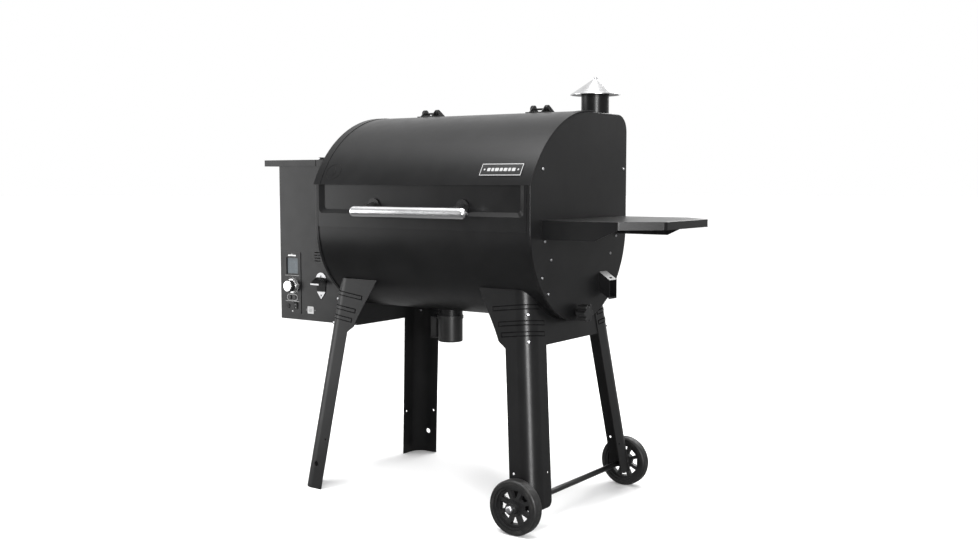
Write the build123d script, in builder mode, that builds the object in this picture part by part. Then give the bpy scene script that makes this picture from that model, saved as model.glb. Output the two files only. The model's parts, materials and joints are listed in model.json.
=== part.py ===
"""Pellet smoker grill: a barrel cooker on four splayed legs, with a pellet hopper and a side shelf.

Frame: +Z up, -Y the front, -X the hopper end, +X the shelf end. The origin is on the ground, in the
middle of the whole grill. The barrel's own middle stands a little to the right of it, at BARREL_X.
"""
import os
from math import asin, atan2, cos, degrees, hypot, radians, sin, sqrt

from build123d import *

os.makedirs("parts", exist_ok=True)

# ---------------------------------------------------------------- driving dimensions, in millimetres
SHEET = 2.0                     # folded steel sheet
CONTACT_GAP = 0.3               # air between two bodies that move against each other
RUNNING = 0.05                  # radial clearance of a shaft in its hole

BARREL_X = 38.5                 # middle of the barrel
BARREL_LENGTH = 762.0
BARREL_R = 260.0                # lower half is round
AXIS_Z = 795.0                  # height of the barrel's axis
BARREL_TOP = 1117.0
CREASE_Z = 915.0                # where the flat front turns into the lid's arc
ARC_Y = 52.0                    # the arc meets the flat top above this point
REAR_CORNER_R = 50.0
FLANGE_W = 11.0                 # rim turned in round each end plate
FLANGE_T = 2.5
RIM_R = 3.0                     # rounding of the rim's outer edge

LID_OVERHANG = 2.0              # the lid's arc is this much longer than the barrel at each end
LID_GAP = 0.5                   # air between the end plates' rims and the lid
LID_REAR_Y = 62.0
LID_SEAM_Z = 791.0
LID_LIP_Z = 914.0               # lower edge of the arc, a drip lip in front of the flat band
HEM_W = 25.0                    # raised band along the arc at each end
HEM_STEP = 1.2
POCKET_X = -2.5                 # pressed pocket in the flat band
POCKET_HALF = 363.5
POCKET_FLOOR_HALF = 347.5
POCKET_Z = 830.0
POCKET_FLOOR_Z = 842.0
POCKET_DEPTH = 9.0

HANDLE_R = 16.0
HANDLE_WALL = 4.0
HANDLE_END_R = 15.0             # rounding of its ends
HANDLE_END = 8.0                # solid length at each end
HANDLE_HALF = 205.0
HANDLE_Y = -298.0
HANDLE_Z = 838.0
STANDOFF_X = 158.0
STANDOFF_R = 12.0
STANDOFF_Z = 854.2
STANDOFF_DROP = 12.2            # how far it falls from the pocket to the bar
STANDOFF_FOOT_R = 21.0
STANDOFF_FOOT_T = 5.0

HINGE_X = 200.0                 # to each side of the barrel's middle
HINGE_Y = 70.0
HINGE_Z = 1131.0
HINGE_WIDTH = 70.0
HINGE_PIN_R = 3.0
HINGE_EAR_R = 11.5
HINGE_FIXED_Y = (77.0, 112.0)   # front and back edges of the leaves
HINGE_LID_Y = (44.0, 60.0)
HINGE_LEAF_T = 3.0

CHIMNEY_X = 330.0
CHIMNEY_Y = 160.0
CHIMNEY_R = 40.0
CHIMNEY_TOP = 1178.0
CAP_R = 72.0
CAP_RIM_Z = 1171.0
CAP_TOP_Z = 1215.0
STEM_R = 4.0
STEM_TOP_Z = 1222.0

SHELF_Z = 822.0
SHELF_Y = 6.0                   # the shelf's own middle line
SHELF_HALF = 209.0
SHELF_CORNER_X = 604.0
SHELF_OUTER_X = 700.0
SHELF_OUTER_HALF = 126.0
SHELF_FLANGE = 51.0
SHELF_LIP = 21.0
SHELF_TAPER_X = 539.0

LEG_LEAN = 0.124                # how far a leg leans inwards for each unit of height, both ways
LEG_MIDDLE_X = -7.0             # middle of the four legs
LEG_FOOT_X = 425.0              # from that middle
LEG_FOOT_Y = 283.0
LEG_T = 2.5
LEG_BEND_R = 43.0
LEG_FRONT_W = 80.0
LEG_SIDE_W = 81.0
LEG_TOP_Z = 634.0
FLARE_INNER_X = 178.0           # inner end of the flared top edge
FLARE_JOIN_X = 285.0            # outer end, inside the leg's own face
FLARE_NECK_Z = 476.0
FLARE_CURVE = ((255.0, 497.0), (231.0, 545.0), (206.0, 588.0))
# pressed ribs round the corner, as (height, length on the front, length on the side)
LEG_RIBS = ((593.0, 116.0, 50.0), (551.0, 99.0, 72.0), (522.0, 91.0, 72.0))
RIB_H = 8.0
RIB_PROUD = 1.2
GROOVE_W = 3.0                  # round each rib
GROOVE_DEPTH = 1.6
LEG_BOLT_Z = (562.0, 490.0)
LEG_BOLT_R = 4.5
LEG_BOLT_H = 3.5
LEG_BOLT_TAPER = 25.0           # low domed heads
LEG_BOLT_HOLE_R = 3.0
LEG_HOLE_Z = 150.0              # small hole near each face's free edge
LEG_HOLE_INSET = 14.0
LEG_HOLE_R = 3.5
WHEEL_LEG_END_Z = 60.0
WHEEL_LEG_CORNER_R = 20.0
BRACE_Z = 482.0
BRACE_HALF = 168.0

WHEEL_R = 74.0
WHEEL_Y = 300.0
TYRE_W = 35.0
TYRE_INNER_R = 60.0
AXLE_X = 364.0
AXLE_R = 8.0
AXLE_HALF = 331.0
NUT_R = 10.0
NUT_Y = 321.5                   # inner face of the domed nuts
NUT_L = 14.5
HUB_R = 16.0
SPOKES = 8
WINDOW_R = (25.0, 45.0)         # inner and outer ends of the windows between the spokes
WINDOW_W = (10.0, 25.0)

HOPPER_LEFT_X = -716.0
HOPPER_FRONT_Y = -80.0
HOPPER_REAR_Y = 250.0
HOPPER_Z = 473.5
HOPPER_TOP_Z = 988.7
HOPPER_LID_LEFT_X = -777.0
HOPPER_LID_TOP_Z = 991.0
HOPPER_HINGE_X = -546.0
HOPPER_SKIRT = 20.0
HOPPER_PIN_R = 2.0
HOPPER_KNUCKLE_R = 4.0
FUNNEL_TOP_Z = 800.0
FUNNEL_NECK_Z = 628.0
FEED_X = -540.0                 # middle of the pellet inlet over the auger
FEED_HALF = 60.0

AUGER_Z = 592.0
AUGER_TUBE_R = 30.0
AUGER_TUBE_WALL = 3.0
AUGER_R = 25.0
AUGER_SHAFT_R = 7.0
AUGER_PITCH = 44.0
AUGER_TUBE_LEFT_X = -655.0
AUGER_TURNS = 11

POT_X = -75.0
POT_R = 42.0
POT_WALL = 4.0
POT_Z = 551.5
POT_TOP_Z = 640.0
ASH_R = 37.0
ASH_THROAT_R = 34.5
ASH_COLLAR_Z = 520.0
ASH_CUP_Z = 440.0
GATE_Z = 549.0
GATE_ROD_R = 4.0
GATE_ROD_Y = -21.0
GATE_ROD_Z = 561.0
GATE_KNOB_X = 392.0
GATE_KNOB_R = 25.0
GATE_KNOB_W = 28.0
GATE_LOBES = 6
GATE_LOBE_R = 7.0

GRATE_Z = 788.5
GRATE_ROD_R = 3.5
RACK_Z = 930.0

PANEL_X = -660.0
PANEL_HALF = 38.0
PANEL_Z = 492.0
PANEL_TOP_Z = 693.0
SCREEN_Z = 648.0
SCREEN_W = 52.0
SCREEN_H = 55.0
SCREEN_SUNK = 4.0
DIAL_X = -658.0
DIAL_Z = 583.0
DIAL_R = 25.0
KNOB_R = 22.0
KNOB_W = 25.0
BADGE_X = 211.0                 # left end of the plate on the lid
BADGE_W = 135.0
BADGE_T = 1.2
BADGE_Z = (938.0, 972.0)
BUTTON_Z = 545.0
BUTTON_SPACING = 22.0
BUTTON_R = 7.0
ROCKER_X = -644.0
ROCKER_Z = 518.0
ROCKER_W = 15.0
ROCKER_H = 21.0
ROCKER_TILT = 8.0
ROCKER_GAP = 1.0                # all round it in the panel
JACK_X = -679.0
JACK_Z = 516.0

FAN_Y = 115.0
FAN_Z = 650.0
FAN_HALF = 46.0
FAN_R = 40.0
FAN_W = 30.0

SPOUT_X = 415.0                 # mouth of the grease spout
SPOUT_Y = (102.0, 144.0)
SPOUT_Z = (612.0, 666.0)
SPOUT_DROP = 23.0
SPOUT_TROUGH_Y = -170.0

OPENER_X = -532.0
OPENER_HALF = 22.0
OPENER_HOOD_HALF = 18.0
LABEL_X = -580.5
LABEL_Z = 508.0
LABEL_W = 26.0
LABEL_H = 23.0
LABEL_RIVET_X = 18.0

SCREW_R = 4.0
SCREW_H = 2.6
# screws on the right end plate, as (y, z); the front ones are on the left plate too
PLATE_SCREWS = ((-200.0, 956.0), (-158.0, 715.0), (-202.0, 669.0), (-171.0, 624.0))
RIGHT_PLATE_SCREWS = ((240.0, 959.0), (165.0, 716.0), (-190.0, 765.5), (198.0, 765.5))

# ---------------------------------------------------------------- places worked out from them
BARREL_LEFT = BARREL_X - BARREL_LENGTH / 2
BARREL_RIGHT = BARREL_X + BARREL_LENGTH / 2
BARREL_SHEET_IN = FLANGE_T + SHEET                       # the barrel sheet lies inside the rims
ARC_DROP = BARREL_TOP - CREASE_Z
ARC_R = ((BARREL_R + ARC_Y) ** 2 + ARC_DROP ** 2) / (2 * ARC_DROP)
ARC_Z = BARREL_TOP - ARC_R
LID_HALF = BARREL_LENGTH / 2 + LID_OVERHANG
BAND_HALF = BARREL_LENGTH / 2 - FLANGE_W - 1.0
SHELL_TOP = BARREL_TOP - FLANGE_T
LID_TOP = BARREL_TOP + LID_GAP + SHEET
PANEL_FACE_Y = HOPPER_FRONT_Y - SHEET


def save(piece, name):
    """Name a finished piece and write it as its own file."""
    piece.part.label = name
    export_step(piece.part, f"parts/{name}.step")


def across(x):
    """Plane across the barrel at a distance from its middle: (Y, Z), extruding towards +X."""
    return Plane.YZ.offset(BARREL_X + x)


def facing(y):
    """Plane facing the front at depth y: (X, Z), extruding towards -Y."""
    return Plane.XZ.offset(-y)


def level(z):
    """Horizontal plane at height z: (X, Y), extruding towards +Z."""
    return Plane.XY.offset(z)


def barrel_outline(inset, mode=Mode.ADD):
    """The barrel's closed end profile, drawn this far inside its outermost surface."""
    r = BARREL_R - inset
    top = BARREL_TOP - inset
    corner = REAR_CORNER_R - inset
    arc_r = ARC_R - inset
    crease_z = ARC_Z + sqrt(arc_r ** 2 - (r + ARC_Y) ** 2)
    crease_angle = degrees(atan2(crease_z - ARC_Z, -r - ARC_Y))
    with BuildLine() as outline:
        ThreePointArc((-r, AXIS_Z), (0, AXIS_Z - r), (r, AXIS_Z))
        Line((r, AXIS_Z), (r, top - corner))
        CenterArc((r - corner, top - corner), corner, 0, 90)
        Line((r - corner, top), (ARC_Y, top))
        CenterArc((ARC_Y, ARC_Z), arc_r, 90, crease_angle - 90)
        Line((-r, crease_z), (-r, AXIS_Z))
    make_face(outline.edges(), mode=mode)


def arc_strip(inner, outer, low_z, high_z, rear_y=None):
    """A strip of sheet on the lid's arc, between two offsets from it and two heights."""
    def angle(offset, z):
        return degrees(asin(min(1.0, (z - ARC_Z) / (ARC_R + offset))))

    with BuildLine() as strip:
        out = CenterArc((ARC_Y, ARC_Z), ARC_R + outer, 180 - angle(outer, low_z),
                        angle(outer, low_z) - angle(outer, high_z))
        back = CenterArc((ARC_Y, ARC_Z), ARC_R + inner, 180 - angle(inner, low_z),
                         angle(inner, low_z) - angle(inner, high_z))
        Line(out @ 0, back @ 0)
        if rear_y is None:
            Line(out @ 1, back @ 1)
        else:
            Polyline(out @ 1, (rear_y, (out @ 1).Y), (rear_y, (back @ 1).Y), back @ 1)
    make_face(strip.edges())


# ---------------------------------------------------------------- barrel
with BuildPart() as barrel_shell:
    with BuildSketch(across(SHEET - BARREL_LENGTH / 2)):
        barrel_outline(FLANGE_T)
        barrel_outline(BARREL_SHEET_IN, Mode.SUBTRACT)
    extrude(amount=BARREL_LENGTH - 2 * SHEET)
    # the mouth that the lid closes
    with BuildSketch(across(-BARREL_LENGTH / 2)):
        with Locations((-BARREL_R / 2 - 30, (BARREL_TOP + AXIS_Z) / 2 + 7)):
            Rectangle(BARREL_R + 140, BARREL_TOP - AXIS_Z + 10)
    extrude(amount=BARREL_LENGTH, mode=Mode.SUBTRACT)
    # ledges under the cooking grates
    for side in (-1, 1):
        with Locations((BARREL_X, side * 248.3, GRATE_Z - GRATE_ROD_R - SHEET / 2)):
            Box(BARREL_LENGTH - 2 * SHEET, 16.5, SHEET)
    # round hole for the chimney
    with Locations((BARREL_X + CHIMNEY_X, CHIMNEY_Y, BARREL_TOP)):
        Cylinder(CHIMNEY_R, 40, mode=Mode.SUBTRACT)
    # throat that drops the ash
    with BuildSketch(level(ASH_COLLAR_Z)):
        with Locations((BARREL_X + POT_X, 0)):
            Circle(ASH_R)
    extrude(amount=GATE_Z - CONTACT_GAP - ASH_COLLAR_Z)
    with BuildSketch(level(ASH_COLLAR_Z)):
        with Locations((BARREL_X + POT_X, 0)):
            Circle(ASH_THROAT_R)
    extrude(amount=GATE_Z - ASH_COLLAR_Z, mode=Mode.SUBTRACT)
save(barrel_shell, "barrel_shell")


def end_plate_blank(outer_x, inward):
    """A dished end plate: a flat sheet with its rim turned in over the barrel's sheet."""
    with BuildPart() as blank:
        with BuildSketch(across(outer_x)):
            barrel_outline(0)
        extrude(amount=inward * FLANGE_W)
        fillet(blank.faces().sort_by(Axis.X)[-1 if inward < 0 else 0].edges(), RIM_R)
        with BuildSketch(across(outer_x + inward * SHEET)):
            barrel_outline(FLANGE_T)
        extrude(amount=inward * FLANGE_W, mode=Mode.SUBTRACT)
    return blank


right_blank = end_plate_blank(BARREL_LENGTH / 2, -1)
with BuildPart() as end_plate_right:
    add(right_blank.part)
    with BuildSketch(across(BARREL_LENGTH / 2 - SHEET)):
        with Locations((GATE_ROD_Y, GATE_ROD_Z)):
            Circle(GATE_ROD_R + RUNNING)
        with Locations(((SPOUT_Y[0] + SPOUT_Y[1]) / 2, (SPOUT_Z[0] + SPOUT_Z[1]) / 2)):
            Rectangle(SPOUT_Y[1] - SPOUT_Y[0], SPOUT_Z[1] - SPOUT_Z[0])
        with Locations(*PLATE_SCREWS, *RIGHT_PLATE_SCREWS):
            Circle(2)
    extrude(amount=SHEET, mode=Mode.SUBTRACT)
save(end_plate_right, "end_plate_right")

left_blank = end_plate_blank(-BARREL_LENGTH / 2, 1)
with BuildPart() as end_plate_left:
    add(left_blank.part)
    with BuildSketch(across(-BARREL_LENGTH / 2)):
        with Locations((0, AUGER_Z)):
            Circle(AUGER_TUBE_R)
        with Locations((FAN_Y, FAN_Z)):
            Circle(FAN_R)
        with Locations((22, 563)):
            Circle(4.5)
        with Locations((0, 900)):
            Circle(3)
        with Locations(*PLATE_SCREWS):
            Circle(2)
    extrude(amount=SHEET, mode=Mode.SUBTRACT)
save(end_plate_left, "end_plate_left")

# ---------------------------------------------------------------- lid
with BuildPart() as lid:
    # flat band with its pressed pocket
    with BuildSketch(facing(-BARREL_R + SHEET)):
        with Locations((BARREL_X, (LID_SEAM_Z + CREASE_Z) / 2)):
            Rectangle(2 * BAND_HALF, CREASE_Z - LID_SEAM_Z)
    extrude(amount=SHEET)
    for half, floor_half, z, floor_z, near, far, mode in (
            (POCKET_HALF + SHEET, POCKET_FLOOR_HALF + SHEET, POCKET_Z - SHEET,
             POCKET_FLOOR_Z - SHEET, -BARREL_R, -BARREL_R + POCKET_DEPTH + SHEET, Mode.ADD),
            (POCKET_HALF, POCKET_FLOOR_HALF, POCKET_Z, POCKET_FLOOR_Z, -BARREL_R,
             -BARREL_R + POCKET_DEPTH, Mode.SUBTRACT)):
        with BuildSketch(facing(near)):
            with Locations((BARREL_X + POCKET_X, z + 50)):
                RectangleRounded(2 * half, 100, 14)
        with BuildSketch(facing(far)):
            with Locations((BARREL_X + POCKET_X, floor_z + 46)):
                RectangleRounded(2 * floor_half, 92, 10)
        loft(mode=mode)
    with BuildSketch(across(-BARREL_LENGTH / 2)):
        with Locations((-BARREL_R + 5, LID_LIP_Z + SHEET + 20)):
            Rectangle(30, 40)
    extrude(amount=BARREL_LENGTH, mode=Mode.SUBTRACT)
    # return under the drip lip
    with BuildSketch(across(-BAND_HALF)):
        with Locations((-BARREL_R + 5.25, LID_LIP_Z + SHEET / 2)):
            Rectangle(14.5, SHEET)
    extrude(amount=2 * BAND_HALF)
    # arc, with a raised hem at each end
    with BuildSketch(across(-LID_HALF)):
        arc_strip(LID_GAP, LID_GAP + SHEET, LID_LIP_Z, BARREL_TOP + LID_GAP + SHEET, LID_REAR_Y)
    extrude(amount=2 * LID_HALF)
    for x in (-LID_HALF, LID_HALF - HEM_W):
        with BuildSketch(across(x)):
            arc_strip(LID_GAP, LID_GAP + SHEET + HEM_STEP, LID_LIP_Z,
                      BARREL_TOP + LID_GAP + SHEET + HEM_STEP, LID_REAR_Y)
        extrude(amount=HEM_W)
save(lid, "lid")

with BuildPart() as lid_handle_bar:
    with BuildSketch(across(-HANDLE_HALF)):
        with Locations((HANDLE_Y, HANDLE_Z)):
            Circle(HANDLE_R)
    extrude(amount=2 * HANDLE_HALF)
    fillet(lid_handle_bar.edges().filter_by(GeomType.CIRCLE), HANDLE_END_R)
    with BuildSketch(across(HANDLE_END - HANDLE_HALF)):
        with Locations((HANDLE_Y, HANDLE_Z)):
            Circle(HANDLE_R - HANDLE_WALL)
    extrude(amount=2 * (HANDLE_HALF - HANDLE_END), mode=Mode.SUBTRACT)
    # screw holes in its back, into the hollow
    with BuildSketch(facing(HANDLE_Y)):
        with Locations((BARREL_X - STANDOFF_X, HANDLE_Z), (BARREL_X + STANDOFF_X, HANDLE_Z)):
            Circle(3)
    extrude(amount=-HANDLE_R, mode=Mode.SUBTRACT)
save(lid_handle_bar, "lid_handle_bar")

with BuildPart() as lid_handle_standoffs:
    reach = -HANDLE_Y - BARREL_R + POCKET_DEPTH
    for x in (-STANDOFF_X, STANDOFF_X):
        with BuildSketch(facing(-BARREL_R + POCKET_DEPTH)):
            with Locations((BARREL_X + x, STANDOFF_Z)):
                Circle(STANDOFF_R)
        extrude(amount=hypot(reach, STANDOFF_DROP), dir=(0, -reach, -STANDOFF_DROP))
        # round foot on the pocket's floor, flat underneath
        with BuildSketch(facing(-BARREL_R + POCKET_DEPTH)):
            with Locations((BARREL_X + x, STANDOFF_Z)):
                Circle(STANDOFF_FOOT_R)
            with Locations((BARREL_X + x, POCKET_FLOOR_Z - STANDOFF_FOOT_R)):
                Rectangle(4 * STANDOFF_FOOT_R, 2 * STANDOFF_FOOT_R, mode=Mode.SUBTRACT)
        extrude(amount=STANDOFF_FOOT_T)
    with BuildSketch(across(-HANDLE_HALF)):
        with Locations((HANDLE_Y, HANDLE_Z)):
            Circle(HANDLE_R)
    extrude(amount=2 * HANDLE_HALF, mode=Mode.SUBTRACT)
save(lid_handle_standoffs, "lid_handle_standoffs")

with BuildPart() as badge_plate:
    with BuildSketch(across(BADGE_X)):
        arc_strip(LID_GAP + SHEET, LID_GAP + SHEET + BADGE_T, *BADGE_Z)
    extrude(amount=BADGE_W)
save(badge_plate, "badge_plate")

# ---------------------------------------------------------------- lid hinges
with BuildPart() as hinge_leaves_fixed:
    for x in (-HINGE_X, HINGE_X):
        with BuildSketch(level(SHELL_TOP)):
            with Locations((BARREL_X + x, sum(HINGE_FIXED_Y) / 2)):
                Rectangle(HINGE_WIDTH, HINGE_FIXED_Y[1] - HINGE_FIXED_Y[0])
        extrude(amount=HINGE_LEAF_T)
        for ear_x in (-28, 25):
            with BuildSketch(across(x + ear_x)):
                with Locations((HINGE_Y, HINGE_Z)):
                    Circle(HINGE_EAR_R)
                with Locations((HINGE_FIXED_Y[1] - 13, SHELL_TOP + 2)):
                    Rectangle(26, 4)
                make_hull()
                with Locations((HINGE_Y, HINGE_Z)):
                    Circle(HINGE_PIN_R + RUNNING, mode=Mode.SUBTRACT)
            extrude(amount=HINGE_LEAF_T)
save(hinge_leaves_fixed, "hinge_leaves_fixed")

with BuildPart() as hinge_leaves_lid:
    for x in (-HINGE_X, HINGE_X):
        with BuildSketch(level(LID_TOP)):
            with Locations((BARREL_X + x, sum(HINGE_LID_Y) / 2)):
                Rectangle(HINGE_WIDTH, HINGE_LID_Y[1] - HINGE_LID_Y[0])
        extrude(amount=HINGE_LEAF_T)
        for lug_x in (-22, 19):
            with BuildSketch(across(x + lug_x)):
                with Locations((HINGE_Y, HINGE_Z)):
                    Circle(HINGE_EAR_R)
                with Locations((sum(HINGE_LID_Y) / 2, LID_TOP + HINGE_LEAF_T / 2)):
                    Rectangle(HINGE_LID_Y[1] - HINGE_LID_Y[0], HINGE_LEAF_T)
                make_hull()
                with Locations((HINGE_Y, HINGE_Z)):
                    Circle(HINGE_PIN_R + RUNNING, mode=Mode.SUBTRACT)
            extrude(amount=HINGE_LEAF_T)
save(hinge_leaves_lid, "hinge_leaves_lid")

with BuildPart() as hinge_pins:
    for x in (-HINGE_X, HINGE_X):
        for start, radius, length in ((-32, 5.5, 4), (-28, HINGE_PIN_R, 56), (28, 5.5, 4)):
            with BuildSketch(across(x + start)):
                with Locations((HINGE_Y, HINGE_Z)):
                    Circle(radius)
            extrude(amount=length)
save(hinge_pins, "hinge_pins")

# ---------------------------------------------------------------- chimney
with BuildPart() as chimney_pipe:
    with BuildSketch(level(1090)):
        with Locations((BARREL_X + CHIMNEY_X, CHIMNEY_Y)):
            Circle(CHIMNEY_R)
    extrude(amount=CHIMNEY_TOP - 1090)
    with BuildSketch(level(1090)):
        with Locations((BARREL_X + CHIMNEY_X, CHIMNEY_Y)):
            Circle(CHIMNEY_R - SHEET)
    extrude(amount=CHIMNEY_TOP - 1090, mode=Mode.SUBTRACT)
    # bridge that the cap's stem screws through
    with BuildSketch(level(1155)):
        with Locations((BARREL_X + CHIMNEY_X, CHIMNEY_Y)):
            Rectangle(2 * CHIMNEY_R - SHEET, 14)
    extrude(amount=3)
    with BuildSketch(level(1150)):
        with Locations((BARREL_X + CHIMNEY_X, CHIMNEY_Y)):
            Circle(STEM_R + RUNNING)
    extrude(amount=12, mode=Mode.SUBTRACT)
save(chimney_pipe, "chimney_pipe")

CAP_AXIS = Plane(origin=(BARREL_X + CHIMNEY_X, CHIMNEY_Y, 0), x_dir=(1, 0, 0), z_dir=(0, -1, 0))
with BuildPart() as chimney_cap:
    with BuildSketch(CAP_AXIS):
        with BuildLine():
            Polyline((CAP_R, CAP_RIM_Z), (CAP_R, CAP_RIM_Z + 2), (9, CAP_TOP_Z), (STEM_R, CAP_TOP_Z),
                     (STEM_R, CAP_TOP_Z - 1.5), (8, CAP_TOP_Z - 1.5), (CAP_R - 3, CAP_RIM_Z),
                     close=True)
        make_face()
    revolve(axis=Axis((BARREL_X + CHIMNEY_X, CHIMNEY_Y, 0), (0, 0, 1)))
save(chimney_cap, "chimney_cap")

with BuildPart() as chimney_stem:
    for z, radius, height in ((1125, STEM_R, CAP_TOP_Z - 1125), (CAP_TOP_Z, 7, 4),
                              (CAP_TOP_Z + 4, 4.5, STEM_TOP_Z - CAP_TOP_Z - 4)):
        with BuildSketch(level(z)):
            with Locations((BARREL_X + CHIMNEY_X, CHIMNEY_Y)):
                Circle(radius)
        extrude(amount=height)
save(chimney_stem, "chimney_stem")


# ---------------------------------------------------------------- side shelf
def shelf_outline():
    """The shelf seen from above: straight sides, then cut corners to a shorter outer edge."""
    left, right = BARREL_RIGHT, BARREL_X + SHELF_OUTER_X
    with BuildLine() as outline:
        Polyline((left, SHELF_Y - SHELF_HALF), (BARREL_X + SHELF_CORNER_X, SHELF_Y - SHELF_HALF),
                 (right, SHELF_Y - SHELF_OUTER_HALF), (right, SHELF_Y + SHELF_OUTER_HALF),
                 (BARREL_X + SHELF_CORNER_X, SHELF_Y + SHELF_HALF), (left, SHELF_Y + SHELF_HALF),
                 close=True)
    make_face(outline.edges())


with BuildPart() as side_shelf:
    with BuildSketch(level(SHELF_Z)) as shelf_top:
        shelf_outline()
        fillet(shelf_top.vertices().group_by(Axis.X)[1:], 14)
    extrude(amount=-SHELF_FLANGE)
    with BuildSketch(level(SHELF_Z - SHEET)) as shelf_under:
        shelf_outline()
        fillet(shelf_under.vertices().group_by(Axis.X)[1:], 14)
        offset(amount=-SHEET, kind=Kind.INTERSECTION)
    extrude(amount=-SHELF_FLANGE, mode=Mode.SUBTRACT)
    # the side flanges rise to a shallow lip
    with BuildSketch(facing(-SHELF_HALF - 50)):
        with BuildLine():
            Polyline((BARREL_X + SHELF_TAPER_X, SHELF_Z - SHELF_FLANGE),
                     (BARREL_X + SHELF_CORNER_X, SHELF_Z - SHELF_LIP),
                     (BARREL_X + SHELF_OUTER_X + 5, SHELF_Z - SHELF_LIP),
                     (BARREL_X + SHELF_OUTER_X + 5, SHELF_Z - SHELF_FLANGE - 5),
                     (BARREL_X + SHELF_TAPER_X, SHELF_Z - SHELF_FLANGE - 5), close=True)
        make_face()
    extrude(amount=-2 * SHELF_HALF - 120, mode=Mode.SUBTRACT)
    fillet(side_shelf.faces().sort_by(Axis.Z)[-1].edges().sort_by(Axis.X)[1:], 1.5)
save(side_shelf, "side_shelf")

# ---------------------------------------------------------------- legs


LEG_SLOPE = hypot(1, LEG_LEAN)  # length along a leg's face for each unit of height
LEG_RUN = hypot(1, LEG_LEAN, LEG_LEAN)  # length along a leg for each unit of height
LEG_DIRECTION = (-LEG_LEAN, LEG_LEAN, 1)
LEG_FACE = Plane(origin=(BARREL_X, -LEG_FOOT_Y, 0), x_dir=(1, 0, 0), z_dir=(0, -1, LEG_LEAN))
LEG_RIGHT_X = LEG_MIDDLE_X + LEG_FOOT_X


def leg_corner(z):
    """Where the outer faces of the right front leg would meet, at one height."""
    return (BARREL_X + LEG_RIGHT_X - LEG_LEAN * z, LEG_LEAN * z - LEG_FOOT_Y)


def leg_section(z, thick, proud, front_w, side_w):
    """The right front leg's folded L at one height, seen from above."""
    x = leg_corner(z)[0] + proud
    y = leg_corner(z)[1] - proud
    bend = LEG_BEND_R + proud
    middle = (x - bend, y + bend)
    with BuildSketch(level(z)) as section:
        with BuildLine():
            Line((x - front_w, y), (x - bend, y))
            CenterArc(middle, bend, -90, 90)
            Polyline((x, y + bend), (x, y + side_w), (x - thick, y + side_w), (x - thick, y + bend))
            CenterArc(middle, bend - thick, 0, -90)
            Polyline((x - bend, y + thick), (x - front_w, y + thick), (x - front_w, y))
        make_face()
    return section.sketch


def leg_band(z, height, proud, depth, front_w, side_w):
    """A band of the leg's skin, square to the leg, from proud of its faces to a depth inside."""
    reach = LEG_BEND_R
    with BuildPart() as band:
        extrude(leg_section(z - reach, proud + depth, proud, front_w, side_w),
                amount=2 * reach * LEG_RUN, dir=LEG_DIRECTION)
        with BuildSketch(Plane(origin=(*leg_corner(z), z), z_dir=LEG_DIRECTION)):
            Rectangle(LEG_FOOT_X, LEG_FOOT_X)
        extrude(amount=height / 2, both=True, mode=Mode.INTERSECT)
    return band


def bolt_plane(z, side_x=1, side_y=-1):
    """Plane tangent to a leg's rounded corner at one height, facing outwards."""
    inset = LEG_BEND_R * (1 - 1 / sqrt(2 + 4 * LEG_LEAN ** 2))
    x = LEG_FOOT_X - LEG_LEAN * z - inset
    y = LEG_FOOT_Y - LEG_LEAN * z - inset
    rise = LEG_BEND_R * 2 * LEG_LEAN / sqrt(2 + 4 * LEG_LEAN ** 2)
    return Plane(origin=(BARREL_X + LEG_MIDDLE_X + side_x * x, side_y * y, z + rise),
                 z_dir=(side_x, side_y, 2 * LEG_LEAN))


rib_grooves = [leg_band(z, RIB_H + 2 * GROOVE_W, 1, GROOVE_DEPTH, front + GROOVE_W, side + GROOVE_W)
               for z, front, side in LEG_RIBS]
rib_beads = [leg_band(z, RIB_H, RIB_PROUD, (LEG_T + GROOVE_DEPTH) / 2, front, side)
             for z, front, side in LEG_RIBS]


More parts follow.
